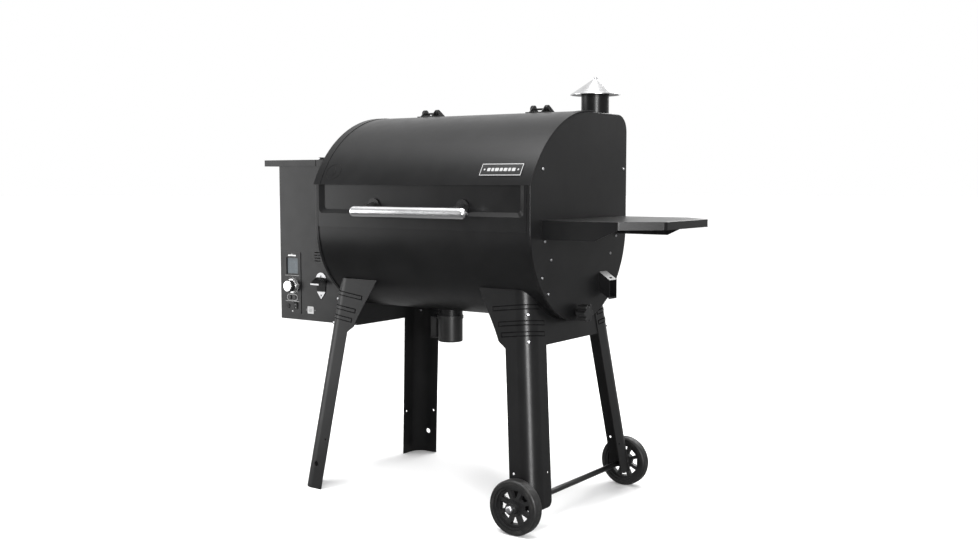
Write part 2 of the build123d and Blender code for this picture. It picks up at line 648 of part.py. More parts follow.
def leg_blank(foot_z):
    """The right front leg: folded sheet, flared top, three pressed ribs, cut to the barrel."""
    with BuildPart() as blank:
        extrude(leg_section(foot_z, LEG_T, 0, LEG_FRONT_W, LEG_SIDE_W),
                amount=(LEG_TOP_Z - foot_z) * LEG_RUN, dir=LEG_DIRECTION)
        with BuildSketch(LEG_FACE):
            with BuildLine():
                neck_x = LEG_RIGHT_X - LEG_LEAN * FLARE_NECK_Z - LEG_FRONT_W
                top = LEG_TOP_Z * LEG_SLOPE
                Line((neck_x, FLARE_NECK_Z * LEG_SLOPE), FLARE_CURVE[0])
                Spline(*FLARE_CURVE, (FLARE_INNER_X, top))
                Polyline((FLARE_INNER_X, top), (FLARE_JOIN_X, top),
                         (FLARE_JOIN_X, FLARE_NECK_Z * LEG_SLOPE),
                         (neck_x, FLARE_NECK_Z * LEG_SLOPE))
            make_face()
        extrude(amount=-LEG_T / LEG_SLOPE)
        for groove, bead in zip(rib_grooves, rib_beads):
            add(groove.part, mode=Mode.SUBTRACT)
            add(bead.part)
        # the top follows the barrel
        with BuildSketch(across(0)):
            with Locations((0, AXIS_Z)):
                Circle(BARREL_R - FLANGE_T)
        extrude(amount=BARREL_LENGTH, mode=Mode.SUBTRACT)
        for z in LEG_BOLT_Z:
            with BuildSketch(bolt_plane(z)):
                Circle(LEG_BOLT_HOLE_R)
            extrude(amount=12, both=True, mode=Mode.SUBTRACT)
        x, y = leg_corner(LEG_HOLE_Z)
        with Locations((x - LEG_FRONT_W + LEG_HOLE_INSET, y, LEG_HOLE_Z)):
            Cylinder(LEG_HOLE_R, 60, rotation=(90, 0, 0), mode=Mode.SUBTRACT)
        with Locations((x, y + LEG_SIDE_W - LEG_HOLE_INSET, LEG_HOLE_Z)):
            Cylinder(LEG_HOLE_R, 60, rotation=(0, 90, 0), mode=Mode.SUBTRACT)
        # every leg is punched for the axle
        with Locations((BARREL_X + AXLE_X, leg_corner(WHEEL_R)[1], WHEEL_R)):
            Cylinder(AXLE_R, 60, rotation=(90, 0, 0), mode=Mode.SUBTRACT)
    return blank


# only the leg itself is kept, without the sliver that the barrel's curve cuts off its top
plain_blank = leg_blank(0)
wheel_blank = leg_blank(WHEEL_LEG_END_Z)
with BuildPart() as leg_front_right:
    add(wheel_blank.solids().sort_by(SortBy.VOLUME)[-1])
    foot_edges = leg_front_right.edges().filter_by(Axis.X).group_by(Axis.Z)[0]
    fillet(foot_edges.sort_by(Axis.Y)[-1], WHEEL_LEG_CORNER_R)
    with BuildSketch(across(AXLE_X)):
        with Locations((-245, 82)):
            Circle(4)
    extrude(amount=80, mode=Mode.SUBTRACT)
save(leg_front_right, "leg_front_right")

with BuildPart() as leg_rear_right:
    mirror(leg_front_right.part, about=Plane.XZ)
save(leg_rear_right, "leg_rear_right")

with BuildPart() as leg_front_left:
    mirror(plain_blank.solids().sort_by(SortBy.VOLUME)[-1], about=across(LEG_MIDDLE_X))
save(leg_front_left, "leg_front_left")

with BuildPart() as leg_rear_left:
    mirror(leg_front_left.part, about=Plane.XZ)
save(leg_rear_left, "leg_rear_left")

with BuildPart() as leg_bolts:
    for side_x in (-1, 1):
        for side_y in (-1, 1):
            for z in LEG_BOLT_Z:
                with BuildSketch(bolt_plane(z, side_x, side_y)):
                    Circle(LEG_BOLT_R)
                extrude(amount=LEG_BOLT_H, taper=LEG_BOLT_TAPER)
                with BuildSketch(bolt_plane(z, side_x, side_y)):
                    Circle(LEG_BOLT_HOLE_R)
                extrude(amount=-10)
save(leg_bolts, "leg_bolts")

with BuildPart() as side_braces:
    for side in (-1, 1):
        brace_x = BARREL_X + LEG_MIDDLE_X + side * (LEG_FOOT_X - LEG_T)
        brace_face = Plane(origin=(brace_x, 0, 0),
                           x_dir=(0, side, 0), z_dir=(side, 0, LEG_LEAN))
        with BuildSketch(brace_face):
            with Locations((0, (BRACE_Z + LEG_TOP_Z) / 2 * LEG_SLOPE)):
                Rectangle(2 * BRACE_HALF, (LEG_TOP_Z - BRACE_Z) * LEG_SLOPE)
        extrude(amount=-SHEET)
    with BuildSketch(across(-BARREL_LENGTH / 2)):
        with Locations((0, AXIS_Z)):
            Circle(BARREL_R - FLANGE_T)
    extrude(amount=BARREL_LENGTH, mode=Mode.SUBTRACT)
save(side_braces, "side_braces")

# ---------------------------------------------------------------- wheels
with BuildPart() as wheel_axle:
    with BuildSketch(facing(AXLE_HALF)):
        with Locations((BARREL_X + AXLE_X, WHEEL_R)):
            Circle(AXLE_R)
    extrude(amount=2 * AXLE_HALF)
save(wheel_axle, "wheel_axle")

with BuildPart() as axle_nuts:
    for side in (-1, 1):
        with BuildSketch(facing(side * NUT_Y)):
            with Locations((BARREL_X + AXLE_X, WHEEL_R)):
                Circle(NUT_R)
        extrude(amount=-side * NUT_L)
        fillet(axle_nuts.faces().sort_by(Axis.Y)[-1 if side > 0 else 0].edges(), 6)
        with BuildSketch(facing(side * NUT_Y)):
            with Locations((BARREL_X + AXLE_X, WHEEL_R)):
                Circle(AXLE_R)
        extrude(amount=-side * (AXLE_HALF - NUT_Y), mode=Mode.SUBTRACT)
save(axle_nuts, "axle_nuts")


WINDOW_SIDE = degrees(atan2(WINDOW_R[1] - WINDOW_R[0], (WINDOW_W[1] - WINDOW_W[0]) / 2))


def wheel_plane(side, depth=0.0):
    """Plane through a wheel, facing away from the grill, this far out from its middle."""
    return Plane(origin=(BARREL_X + AXLE_X, side * (WHEEL_Y + depth), WHEEL_R),
                 x_dir=(-side, 0, 0), z_dir=(0, side, 0))


def make_wheel(side, name):
    """A wheel at one end of the axle: a spoked hub, and a tyre with rounded shoulders."""
    with BuildPart() as hub:
        with BuildSketch(wheel_plane(side, -8)):
            Circle(TYRE_INNER_R)
            with PolarLocations(0, SPOKES):
                with Locations((sum(WINDOW_R) / 2, 0)):
                    Trapezoid(WINDOW_W[1], WINDOW_R[1] - WINDOW_R[0], WINDOW_SIDE, rotation=90,
                              mode=Mode.SUBTRACT)
        extrude(amount=14)
        with BuildSketch(wheel_plane(side, -13)):
            Circle(TYRE_INNER_R)
            Circle(TYRE_INNER_R - 7, mode=Mode.SUBTRACT)
        extrude(amount=26)
        with BuildSketch(wheel_plane(side, -23)):
            Circle(HUB_R)
        extrude(amount=43)
        with BuildSketch(wheel_plane(side, 20)):
            Circle(HUB_R)
            Circle(11.5, mode=Mode.SUBTRACT)
        extrude(amount=6)
        with BuildSketch(wheel_plane(side, -23)):
            Circle(AXLE_R + RUNNING)
        extrude(amount=60, mode=Mode.SUBTRACT)
    save(hub, f"wheel_hub_{name}")
    with BuildPart() as tyre:
        with BuildSketch(wheel_plane(side, -TYRE_W / 2)):
            Circle(WHEEL_R)
        extrude(amount=TYRE_W)
        fillet(tyre.edges().filter_by(GeomType.CIRCLE), 8)
        with BuildSketch(wheel_plane(side, -TYRE_W / 2)):
            Circle(TYRE_INNER_R)
        extrude(amount=TYRE_W, mode=Mode.SUBTRACT)
    save(tyre, f"tyre_{name}")


make_wheel(-1, "front")
make_wheel(1, "rear")

# ---------------------------------------------------------------- pellet hopper
HOPPER_X = (HOPPER_LEFT_X - BARREL_LENGTH / 2) / 2
HOPPER_Y = (HOPPER_FRONT_Y + HOPPER_REAR_Y) / 2
HOPPER_W = -BARREL_LENGTH / 2 - HOPPER_LEFT_X
HOPPER_D = HOPPER_REAR_Y - HOPPER_FRONT_Y
with BuildPart() as hopper_body:
    with BuildSketch(level(HOPPER_Z)):
        with Locations((BARREL_X + HOPPER_X, HOPPER_Y)):
            Rectangle(HOPPER_W, HOPPER_D)
    extrude(amount=HOPPER_TOP_Z - HOPPER_Z)
    fillet(hopper_body.edges().filter_by(Axis.Z).sort_by(Axis.X)[:2], 4)
    with BuildSketch(level(HOPPER_Z + SHEET)):
        with Locations((BARREL_X + HOPPER_X, HOPPER_Y)):
            Rectangle(HOPPER_W - 2 * SHEET, HOPPER_D - 2 * SHEET)
    extrude(amount=HOPPER_TOP_Z - HOPPER_Z, mode=Mode.SUBTRACT)
    # window behind the control panel, and louvres beside it
    with BuildSketch(facing(HOPPER_FRONT_Y + SHEET)):
        with Locations((BARREL_X + PANEL_X, (PANEL_Z + PANEL_TOP_Z) / 2)):
            Rectangle(2 * PANEL_HALF - 8, PANEL_TOP_Z - PANEL_Z - 16)
        with Locations((BARREL_X - 548, 682)):
            with GridLocations(0, 9, 1, 4):
                SlotOverall(26, 3)
    extrude(amount=SHEET, mode=Mode.SUBTRACT)
    # ways through to the barrel for the auger, the igniter and the fan's air
    with BuildSketch(across(-BARREL_LENGTH / 2 - SHEET)):
        with Locations((0, AUGER_Z)):
            Circle(AUGER_TUBE_R)
        with Locations((FAN_Y, FAN_Z)):
            Circle(FAN_R)
        with Locations((22, 563)):
            Circle(4.5)
    extrude(amount=SHEET, mode=Mode.SUBTRACT)
    # air inlet in the bottom, and the socket's window in the back
    with BuildSketch(level(HOPPER_Z)):
        with Locations((BARREL_X - 470, 85)):
            with GridLocations(0, 14, 1, 7):
                SlotOverall(90, 5)
    extrude(amount=SHEET, mode=Mode.SUBTRACT)
    with BuildSketch(facing(HOPPER_REAR_Y)):
        with Locations((BARREL_X - 640, 520)):
            Rectangle(28, 20)
    extrude(amount=SHEET, mode=Mode.SUBTRACT)
    # tool hook welded to the left side
    with BuildSketch(facing(60)):
        with Locations((BARREL_X + HOPPER_LEFT_X - 5.5, 812), (BARREL_X + HOPPER_LEFT_X - 10.5, 816)):
            Rectangle(12, 3)
        with Locations((BARREL_X + HOPPER_LEFT_X - 10.5, 816)):
            Rectangle(3, 11)
    extrude(amount=24)
save(hopper_body, "hopper_body")


def hopper_cover(left_x, right_x, top_z, sheet):
    """A top cover with skirts outside the hopper's front and back walls."""
    width = right_x - left_x
    with BuildPart() as cover:
        with BuildSketch(level(top_z - HOPPER_SKIRT)):
            with Locations((BARREL_X + (left_x + right_x) / 2, HOPPER_Y)):
                Rectangle(width, HOPPER_D + 8)
        extrude(amount=HOPPER_SKIRT)
        with BuildSketch(level(top_z - HOPPER_SKIRT)):
            with Locations((BARREL_X + (left_x + right_x) / 2, HOPPER_Y)):
                Rectangle(width, HOPPER_D + 4)
        extrude(amount=HOPPER_SKIRT - sheet, mode=Mode.SUBTRACT)
    return cover


def hinge_knuckles(centres, length):
    """Rolled knuckles of the hopper lid's hinge, along its pin, with a strap down to the cover."""
    with BuildPart() as knuckles:
        for y in centres:
            with BuildSketch(facing(y + length / 2)):
                with Locations((BARREL_X + HOPPER_HINGE_X, HOPPER_LID_TOP_Z + HOPPER_KNUCKLE_R)):
                    Circle(HOPPER_KNUCKLE_R)
            extrude(amount=length)
    return knuckles


top_blank = hopper_cover(HOPPER_HINGE_X + 1.5, -BARREL_LENGTH / 2, HOPPER_LID_TOP_Z,
                         HOPPER_LID_TOP_Z - HOPPER_TOP_Z)
fixed_knuckles = hinge_knuckles((-45, 85, 215), 44)
with BuildPart() as hopper_top_plate:
    add(top_blank.part)
    add(fixed_knuckles.part)
    for y in (-45, 85, 215):
        with Locations((BARREL_X + HOPPER_HINGE_X + 7, y, HOPPER_LID_TOP_Z + 1)):
            Box(14, 44, 2)
    with BuildSketch(facing(HOPPER_REAR_Y)):
        with Locations((BARREL_X + HOPPER_HINGE_X, HOPPER_LID_TOP_Z + HOPPER_KNUCKLE_R)):
            Circle(HOPPER_PIN_R)
    extrude(amount=HOPPER_D + 10, mode=Mode.SUBTRACT)
save(hopper_top_plate, "hopper_top_plate")

lid_blank = hopper_cover(HOPPER_LID_LEFT_X, HOPPER_HINGE_X - 1.5, HOPPER_LID_TOP_Z, SHEET)
lid_knuckles = hinge_knuckles((20, 150), 84)
with BuildPart() as hopper_lid:
    add(lid_blank.part)
    # hem closed underneath, outside the hopper's left wall: the lid's grip
    with BuildSketch(level(HOPPER_LID_TOP_Z - HOPPER_SKIRT)):
        with Locations((BARREL_X + HOPPER_LID_LEFT_X + 29, HOPPER_Y)):
            Rectangle(58, HOPPER_D + 8)
    extrude(amount=SHEET)
    with BuildSketch(across(HOPPER_LID_LEFT_X)):
        with Locations((HOPPER_Y, HOPPER_LID_TOP_Z - HOPPER_SKIRT / 2)):
            Rectangle(HOPPER_D + 8, HOPPER_SKIRT)
    extrude(amount=SHEET)
    add(lid_knuckles.part)
    for y in (20, 150):
        with Locations((BARREL_X + HOPPER_HINGE_X - 7, y, HOPPER_LID_TOP_Z + 1)):
            Box(14, 84, 2)
    with BuildSketch(facing(HOPPER_REAR_Y)):
        with Locations((BARREL_X + HOPPER_HINGE_X, HOPPER_LID_TOP_Z + HOPPER_KNUCKLE_R)):
            Circle(HOPPER_PIN_R + RUNNING)
    extrude(amount=HOPPER_D, mode=Mode.SUBTRACT)
save(hopper_lid, "hopper_lid")

with BuildPart() as hopper_hinge_pin:
    with BuildSketch(facing(238)):
        with Locations((BARREL_X + HOPPER_HINGE_X, HOPPER_LID_TOP_Z + HOPPER_KNUCKLE_R)):
            Circle(HOPPER_PIN_R)
    extrude(amount=306)
save(hopper_hinge_pin, "hopper_hinge_pin")


def funnel_solid(wall):
    """The funnel's tapering body, this far inside its outer faces."""
    with BuildPart() as body:
        with BuildSketch(level(FUNNEL_TOP_Z)):
            with Locations((BARREL_X + HOPPER_X, HOPPER_Y)):
                Rectangle(HOPPER_W - 2 * SHEET - 2 * wall, HOPPER_D - 2 * SHEET - 2 * wall)
        with BuildSketch(level(FUNNEL_NECK_Z)):
            with Locations((BARREL_X + FEED_X, 0)):
                Rectangle(2 * FEED_HALF + 4 - 2 * wall, 54 - 2 * wall)
        loft()
    return body


funnel_outside = funnel_solid(0)
funnel_inside = funnel_solid(SHEET)
with BuildPart() as hopper_funnel:
    add(funnel_outside.part)
    add(funnel_inside.part, mode=Mode.SUBTRACT)
save(hopper_funnel, "hopper_funnel")

with BuildPart() as hopper_grille:
    for i in range(9):
        with BuildSketch(facing(HOPPER_REAR_Y - SHEET)):
            with Locations((BARREL_X - 690 + 34 * i, 872)):
                Circle(2)
        extrude(amount=HOPPER_D - 2 * SHEET)
    for y in (10, 85, 160):
        with BuildSketch(across(HOPPER_LEFT_X + SHEET)):
            with Locations((y, 869)):
                Circle(2)
        extrude(amount=HOPPER_W - 2 * SHEET)
save(hopper_grille, "hopper_grille")

# ---------------------------------------------------------------- auger and fan
with BuildPart() as auger_tube:
    with BuildSketch(across(AUGER_TUBE_LEFT_X)):
        with Locations((0, AUGER_Z)):
            Circle(AUGER_TUBE_R)
    extrude(amount=POT_X - POT_R + 6 - AUGER_TUBE_LEFT_X)
    with BuildSketch(level(AUGER_Z)):
        with Locations((BARREL_X + FEED_X, 0)):
            Rectangle(2 * FEED_HALF + 4, 54)
    extrude(amount=FUNNEL_NECK_Z - AUGER_Z)
    with BuildSketch(across(AUGER_TUBE_LEFT_X)):
        with Locations((0, AUGER_Z)):
            Circle(AUGER_TUBE_R - AUGER_TUBE_WALL)
    extrude(amount=POT_X - POT_R + 6 - AUGER_TUBE_LEFT_X, mode=Mode.SUBTRACT)
    with BuildSketch(level(AUGER_Z)):
        with Locations((BARREL_X + FEED_X, 0)):
            Rectangle(2 * FEED_HALF, 50)
    extrude(amount=FUNNEL_NECK_Z - AUGER_Z, mode=Mode.SUBTRACT)
save(auger_tube, "auger_tube")

with BuildPart() as auger_screw:
    with BuildSketch(across(AUGER_TUBE_LEFT_X - 6.7)):
        with Locations((0, AUGER_Z)):
            Circle(AUGER_SHAFT_R)
    extrude(amount=535)
    flight_start = (BARREL_X + AUGER_TUBE_LEFT_X + 20, 0, AUGER_Z)
    with BuildLine():
        flight_path = Helix(AUGER_PITCH, AUGER_PITCH * AUGER_TURNS, AUGER_SHAFT_R - 1,
                            center=flight_start, direction=(1, 0, 0))
    with BuildSketch(Plane(origin=flight_path @ 0, z_dir=flight_path % 0,
                           x_dir=(flight_path @ 0) - Vector(*flight_start))):
        Rectangle(AUGER_R - AUGER_SHAFT_R + 1, 2.5, align=(Align.MIN, Align.CENTER))
    sweep(path=flight_path, is_frenet=True)
save(auger_screw, "auger_screw")

with BuildPart() as auger_motor:
    with BuildSketch(across(-707)):
        with Locations((0, AUGER_Z)):
            RectangleRounded(74, 86, 6)
    extrude(amount=34)
    with BuildSketch(across(-673)):
        with Locations((0, AUGER_Z)):
            Circle(12)
            Circle(AUGER_SHAFT_R + RUNNING, mode=Mode.SUBTRACT)
    extrude(amount=14)
    with BuildSketch(across(-700)):
        with Locations((62, AUGER_Z)):
            Circle(24)
        with Locations((40, AUGER_Z)):
            Rectangle(16, 30)
    extrude(amount=28)
save(auger_motor, "auger_motor")

with BuildPart() as fan_housing:
    with BuildSketch(across(-BARREL_LENGTH / 2 - SHEET - FAN_W)):
        with Locations((FAN_Y, FAN_Z)):
            RectangleRounded(2 * FAN_HALF, 2 * FAN_HALF, 6)
            Circle(FAN_R + 1, mode=Mode.SUBTRACT)
    extrude(amount=FAN_W)
    # motor mount on three arms
    with BuildSketch(across(-BARREL_LENGTH / 2 - SHEET - FAN_W)):
        with Locations((FAN_Y, FAN_Z)):
            Circle(15)
            with PolarLocations(0, 3):
                with Locations((26, 0)):
                    Rectangle(34, 5)
    extrude(amount=4)
save(fan_housing, "fan_housing")

with BuildPart() as fan_impeller:
    with BuildSketch(across(-BARREL_LENGTH / 2 - SHEET - FAN_W + 4.5)):
        with Locations((FAN_Y, FAN_Z)):
            Circle(16)
    extrude(amount=20)
    for i in range(7):
        turn = 360 / 7 * i
        blade = Plane(origin=(BARREL_X - BARREL_LENGTH / 2 - SHEET - FAN_W / 2,
                              FAN_Y + 14 * cos(radians(turn)), FAN_Z + 14 * sin(radians(turn))),
                      x_dir=(1, 0.0, 0.0), z_dir=(0, cos(radians(turn)), sin(radians(turn))))
        with BuildSketch(blade):
            Rectangle(17, 2, rotation=38)
        extrude(amount=FAN_R - 15)
save(fan_impeller, "fan_impeller")

# ---------------------------------------------------------------- fire pot and ash
with BuildPart() as fire_pot:
    with BuildSketch(level(POT_Z)):
        with Locations((BARREL_X + POT_X, 0)):
            Circle(POT_R)
            Circle(ASH_THROAT_R - 4, mode=Mode.SUBTRACT)
    extrude(amount=POT_WALL)
    with BuildSketch(level(POT_Z)):
        with Locations((BARREL_X + POT_X, 0)):
            Circle(POT_R)
            Circle(POT_R - POT_WALL, mode=Mode.SUBTRACT)
    extrude(amount=POT_TOP_Z - POT_Z)
    # the auger tube and the igniter come in through the wall
    with BuildSketch(across(POT_X - POT_R - 2)):
        with Locations((0, AUGER_Z)):
            Circle(AUGER_TUBE_R)
        with Locations((22, 563)):
            Circle(4.5)
    extrude(amount=30, mode=Mode.SUBTRACT)
    # ring of air holes
    for i in range(-5, 6):
        with Locations((BARREL_X + POT_X, 0, POT_TOP_Z - 14)):
            Cylinder(3, 2 * POT_R, rotation=(0, 90, 16 * i), mode=Mode.SUBTRACT,
                     align=(Align.CENTER, Align.CENTER, Align.MIN))
save(fire_pot, "fire_pot")

with BuildPart() as igniter_rod:
    with BuildSketch(across(-BARREL_LENGTH / 2 - SHEET)):
        with Locations((22, 563)):
            Circle(4.5)
    extrude(amount=POT_X - 20 + BARREL_LENGTH / 2 + SHEET)
save(igniter_rod, "igniter_rod")

with BuildPart() as ash_gate:
    with BuildSketch(level(GATE_Z)):
        with Locations((BARREL_X - 69, 0)):
            Rectangle(86, 72)
    extrude(amount=SHEET)
    with Locations((BARREL_X - 27, GATE_ROD_Y, GATE_Z + 10)):
        Box(SHEET, 24, 20)
    with BuildSketch(across(-28)):
        with Locations((GATE_ROD_Y, GATE_ROD_Z)):
            Circle(GATE_ROD_R)
    extrude(amount=GATE_KNOB_X + 28)
save(ash_gate, "ash_gate")

with BuildPart() as ash_gate_knob:
    with BuildSketch(across(BARREL_LENGTH / 2 + CONTACT_GAP)):
        with Locations((GATE_ROD_Y, GATE_ROD_Z)):
            Circle(10)
            Circle(GATE_ROD_R, mode=Mode.SUBTRACT)
    extrude(amount=GATE_KNOB_X - BARREL_LENGTH / 2 - CONTACT_GAP)
    with BuildSketch(across(GATE_KNOB_X)):
        with Locations((GATE_ROD_Y, GATE_ROD_Z)):
            Circle(GATE_KNOB_R - GATE_LOBE_R)
            with PolarLocations(GATE_KNOB_R - GATE_LOBE_R, GATE_LOBES):
                Circle(GATE_LOBE_R)
    extrude(amount=GATE_KNOB_W)
    fillet(ash_gate_knob.faces().sort_by(Axis.X)[-1].edges(), 2)
save(ash_gate_knob, "ash_gate_knob")

with BuildPart() as ash_cup:
    with BuildSketch(level(ASH_CUP_Z)):
        with Locations((BARREL_X + POT_X, 0)):
            Circle(ASH_R)
    extrude(amount=ASH_COLLAR_Z - CONTACT_GAP - ASH_CUP_Z)
    fillet(ash_cup.faces().sort_by(Axis.Z)[0].edges(), 4)
    with BuildSketch(level(ASH_COLLAR_Z - CONTACT_GAP - 10)):
        with Locations((BARREL_X + POT_X, 0)):
            Circle(ASH_R + 2.5)
    extrude(amount=10)
    with BuildSketch(level(ASH_CUP_Z + SHEET)):
        with Locations((BARREL_X + POT_X, 0)):
            Circle(ASH_R - SHEET)
    extrude(amount=ASH_COLLAR_Z - ASH_CUP_Z, mode=Mode.SUBTRACT)
    # strap handle welded to its left side
    with BuildSketch(facing(12)):
        with BuildLine():
            left = BARREL_X + POT_X - ASH_R
            Polyline((left + 1, 512), (left - 30, 512), (left - 30, 446), (left + 1, 446),
                     (left + 1, 449), (left - 27, 449), (left - 27, 509), (left + 1, 509), close=True)
        make_face()
    extrude(amount=24)
save(ash_cup, "ash_cup")

# ---------------------------------------------------------------- inside the barrel
with BuildPart() as heat_diffuser:
    with BuildSketch(across(POT_X - 110)):
        with BuildLine():
            Polyline((-120, 668), (0, 700), (120, 668), (120, 665), (0, 697), (-120, 665), close=True)
        make_face()
    extrude(amount=220)
    for x in (-95, 95):
        for y in (-60, 60):
            with BuildSketch(level(548.4)):
                with Locations((BARREL_X + POT_X + x, y)):
                    Circle(4)
            extrude(amount=134)
save(heat_diffuser, "heat_diffuser")

with BuildPart() as drip_tray:
    for y, depth, height in ((215, 430, 2), (215, 2, 12), (-213, 2, 12)):
        with BuildSketch(facing(y)):
            with BuildLine():
                Polyline((BARREL_X - 368, 742), (BARREL_X + 350, 708), (BARREL_X + 350, 708 + height),
                         (BARREL_X - 368, 742 + height), close=True)
            make_face()
        extrude(amount=depth)
    # stands on the barrel's curved bottom on four feet
    for x, top_z in ((-340, 741), (320, 710)):
        for y in (-150, 150):
            with BuildSketch(level(592.6)):
                with Locations((BARREL_X + x, y)):
                    Circle(4)
            extrude(amount=top_z - 592.6)
save(drip_tray, "drip_tray")

with BuildPart() as grease_spout:
    # trough across the barrel's right end, under the tray's low edge
    for wall, mode in ((0, Mode.ADD), (SHEET, Mode.SUBTRACT)):
        with BuildSketch(level(SPOUT_Z[0] + wall)):
            with Locations((BARREL_X + 361, (SPOUT_TROUGH_Y + SPOUT_Y[1]) / 2)):
                Rectangle(34 - 2 * wall, SPOUT_Y[1] - SPOUT_TROUGH_Y - 2 * wall)
        extrude(amount=56, mode=mode)
    # chute sloping out through the end plate
    for wall, mode in ((0, Mode.ADD), (SHEET, Mode.SUBTRACT)):
        low, high = SPOUT_Z[0] + wall, SPOUT_Z[1] - wall
        inner_x, bend_x = BARREL_X + 376 - 8 * wall, BARREL_RIGHT
        mouth_x = BARREL_X + SPOUT_X + wall
        with BuildSketch(facing(SPOUT_Y[1] - wall)):
            with BuildLine():
                Polyline((inner_x, low), (bend_x, low), (mouth_x, low - SPOUT_DROP),
                         (mouth_x, high - SPOUT_DROP), (bend_x, high), (inner_x, high), close=True)
            make_face()
        extrude(amount=SPOUT_Y[1] - SPOUT_Y[0] - 2 * wall, mode=mode)
    # slot in the chute's top, for a grease bucket's wire handle
    with Locations((BARREL_X + SPOUT_X - 8, sum(SPOUT_Y) / 2, SPOUT_Z[1] - SPOUT_DROP + 5)):
        Box(5, 14, 16, mode=Mode.SUBTRACT)
save(grease_spout, "grease_spout")

with BuildPart() as cooking_grates:
    for x in (-186, 186):
        for y in (-248, 248):
            with BuildSketch(across(x - 180)):
                with Locations((y, GRATE_Z)):
                    Circle(GRATE_ROD_R)
            extrude(amount=360)
        for i in range(20):
            with BuildSketch(facing(248)):
                with Locations((BARREL_X + x - 171 + 18 * i, GRATE_Z)):
                    Circle(GRATE_ROD_R if i in (0, 19) else 2.5)
            extrude(amount=496)
        with BuildSketch(across(x - 171)):
            with Locations((0, GRATE_Z)):
                Circle(GRATE_ROD_R)
        extrude(amount=342)
save(cooking_grates, "cooking_grates")

with BuildPart() as warming_rack:
    for y in (20, 200):
        with BuildSketch(across(-340)):
            with Locations((y, RACK_Z)):
                Circle(GRATE_ROD_R)
        extrude(amount=680)
    for i in range(35):
        with BuildSketch(facing(200)):
            with Locations((BARREL_X - 340 + 20 * i, RACK_Z)):
                Circle(2.5)
        extrude(amount=180)
    for x in (-340, 340):
        for y in (20, 200):
            with BuildSketch(level(GRATE_Z + GRATE_ROD_R)):
                with Locations((BARREL_X + x, y)):
                    Circle(GRATE_ROD_R)
            extrude(amount=RACK_Z - GRATE_Z - GRATE_ROD_R)
save(warming_rack, "warming_rack")

with BuildPart() as temperature_probe:
    with BuildSketch(across(-BARREL_LENGTH / 2)):
        with Locations((0, 900)):
            Circle(3)
    extrude(amount=60)
save(temperature_probe, "temperature_probe")

# ---------------------------------------------------------------- control panel
with BuildPart() as control_panel:
    with BuildSketch(facing(HOPPER_FRONT_Y)):
        with Locations((BARREL_X + PANEL_X, (PANEL_Z + PANEL_TOP_Z) / 2)):
            RectangleRounded(2 * PANEL_HALF, PANEL_TOP_Z - PANEL_Z, 4)
    extrude(amount=SHEET)
    # printed rings stand a little proud round the dial and the two buttons
    with BuildSketch(facing(PANEL_FACE_Y)):
        with Locations((BARREL_X + DIAL_X, DIAL_Z)):
            Circle(DIAL_R)
            Circle(DIAL_R - 1.5, mode=Mode.SUBTRACT)
        with Locations((BARREL_X + PANEL_X, BUTTON_Z)):
            SlotOverall(47, 18)
            SlotOverall(44, 15, mode=Mode.SUBTRACT)
    extrude(amount=0.8)
    with BuildSketch(facing(HOPPER_FRONT_Y)):
        with Locations((BARREL_X + PANEL_X, SCREEN_Z)):
            Rectangle(SCREEN_W, SCREEN_H)
        with Locations((BARREL_X + DIAL_X, DIAL_Z)):
            Circle(3 + RUNNING)
        with Locations((BARREL_X + PANEL_X, BUTTON_Z)):
            with GridLocations(BUTTON_SPACING, 0, 2, 1):
                Circle(BUTTON_R + CONTACT_GAP)
        with Locations((BARREL_X + ROCKER_X, ROCKER_Z)):
            Rectangle(ROCKER_W + 2 * ROCKER_GAP, ROCKER_H + 2 * ROCKER_GAP)
        with Locations((BARREL_X + JACK_X, JACK_Z)):
            Circle(5)
    extrude(amount=SHEET, mode=Mode.SUBTRACT)
save(control_panel, "control_panel")

with BuildPart() as display_screen:
    with BuildSketch(facing(PANEL_FACE_Y + SCREEN_SUNK + 5)):
        with Locations((BARREL_X + PANEL_X, SCREEN_Z)):
            Rectangle(SCREEN_W, SCREEN_H)
    extrude(amount=5)
save(display_screen, "display_screen")

with BuildPart() as control_knob:
    with BuildSketch(facing(PANEL_FACE_Y + 14)):
        with Locations((BARREL_X + DIAL_X, DIAL_Z)):
            Circle(3)
    extrude(amount=18)
    with BuildSketch(facing(PANEL_FACE_Y - 1)):
        with Locations((BARREL_X + DIAL_X, DIAL_Z)):
            Circle(KNOB_R)
    extrude(amount=5)
    with BuildSketch(facing(PANEL_FACE_Y - 6)):
        with Locations((BARREL_X + DIAL_X, DIAL_Z)):
            Circle(KNOB_R - 3)
    extrude(amount=KNOB_W - 5, taper=4)
    fillet(control_knob.faces().sort_by(Axis.Y)[0].edges(), 2)
save(control_knob, "control_knob")

for side, name in ((-1, "left"), (1, "right")):
    with BuildPart() as button:
        with BuildSketch(facing(PANEL_FACE_Y + 6)):
            with Locations((BARREL_X + PANEL_X + side * BUTTON_SPACING / 2, BUTTON_Z)):
                Circle(BUTTON_R)
        extrude(amount=9)
        fillet(button.faces().sort_by(Axis.Y)[0].edges(), 1)
    save(button, f"button_{name}")

with BuildPart() as rocker_switch:
    rocker_face = Plane(origin=(BARREL_X + ROCKER_X, PANEL_FACE_Y + 3, ROCKER_Z), x_dir=(1, 0, 0),
                        z_dir=(0, -cos(radians(ROCKER_TILT)), -sin(radians(ROCKER_TILT))))
    with BuildSketch(rocker_face):
        Rectangle(ROCKER_W, ROCKER_H - 1)
    extrude(amount=6, taper=3)
save(rocker_switch, "rocker_switch")

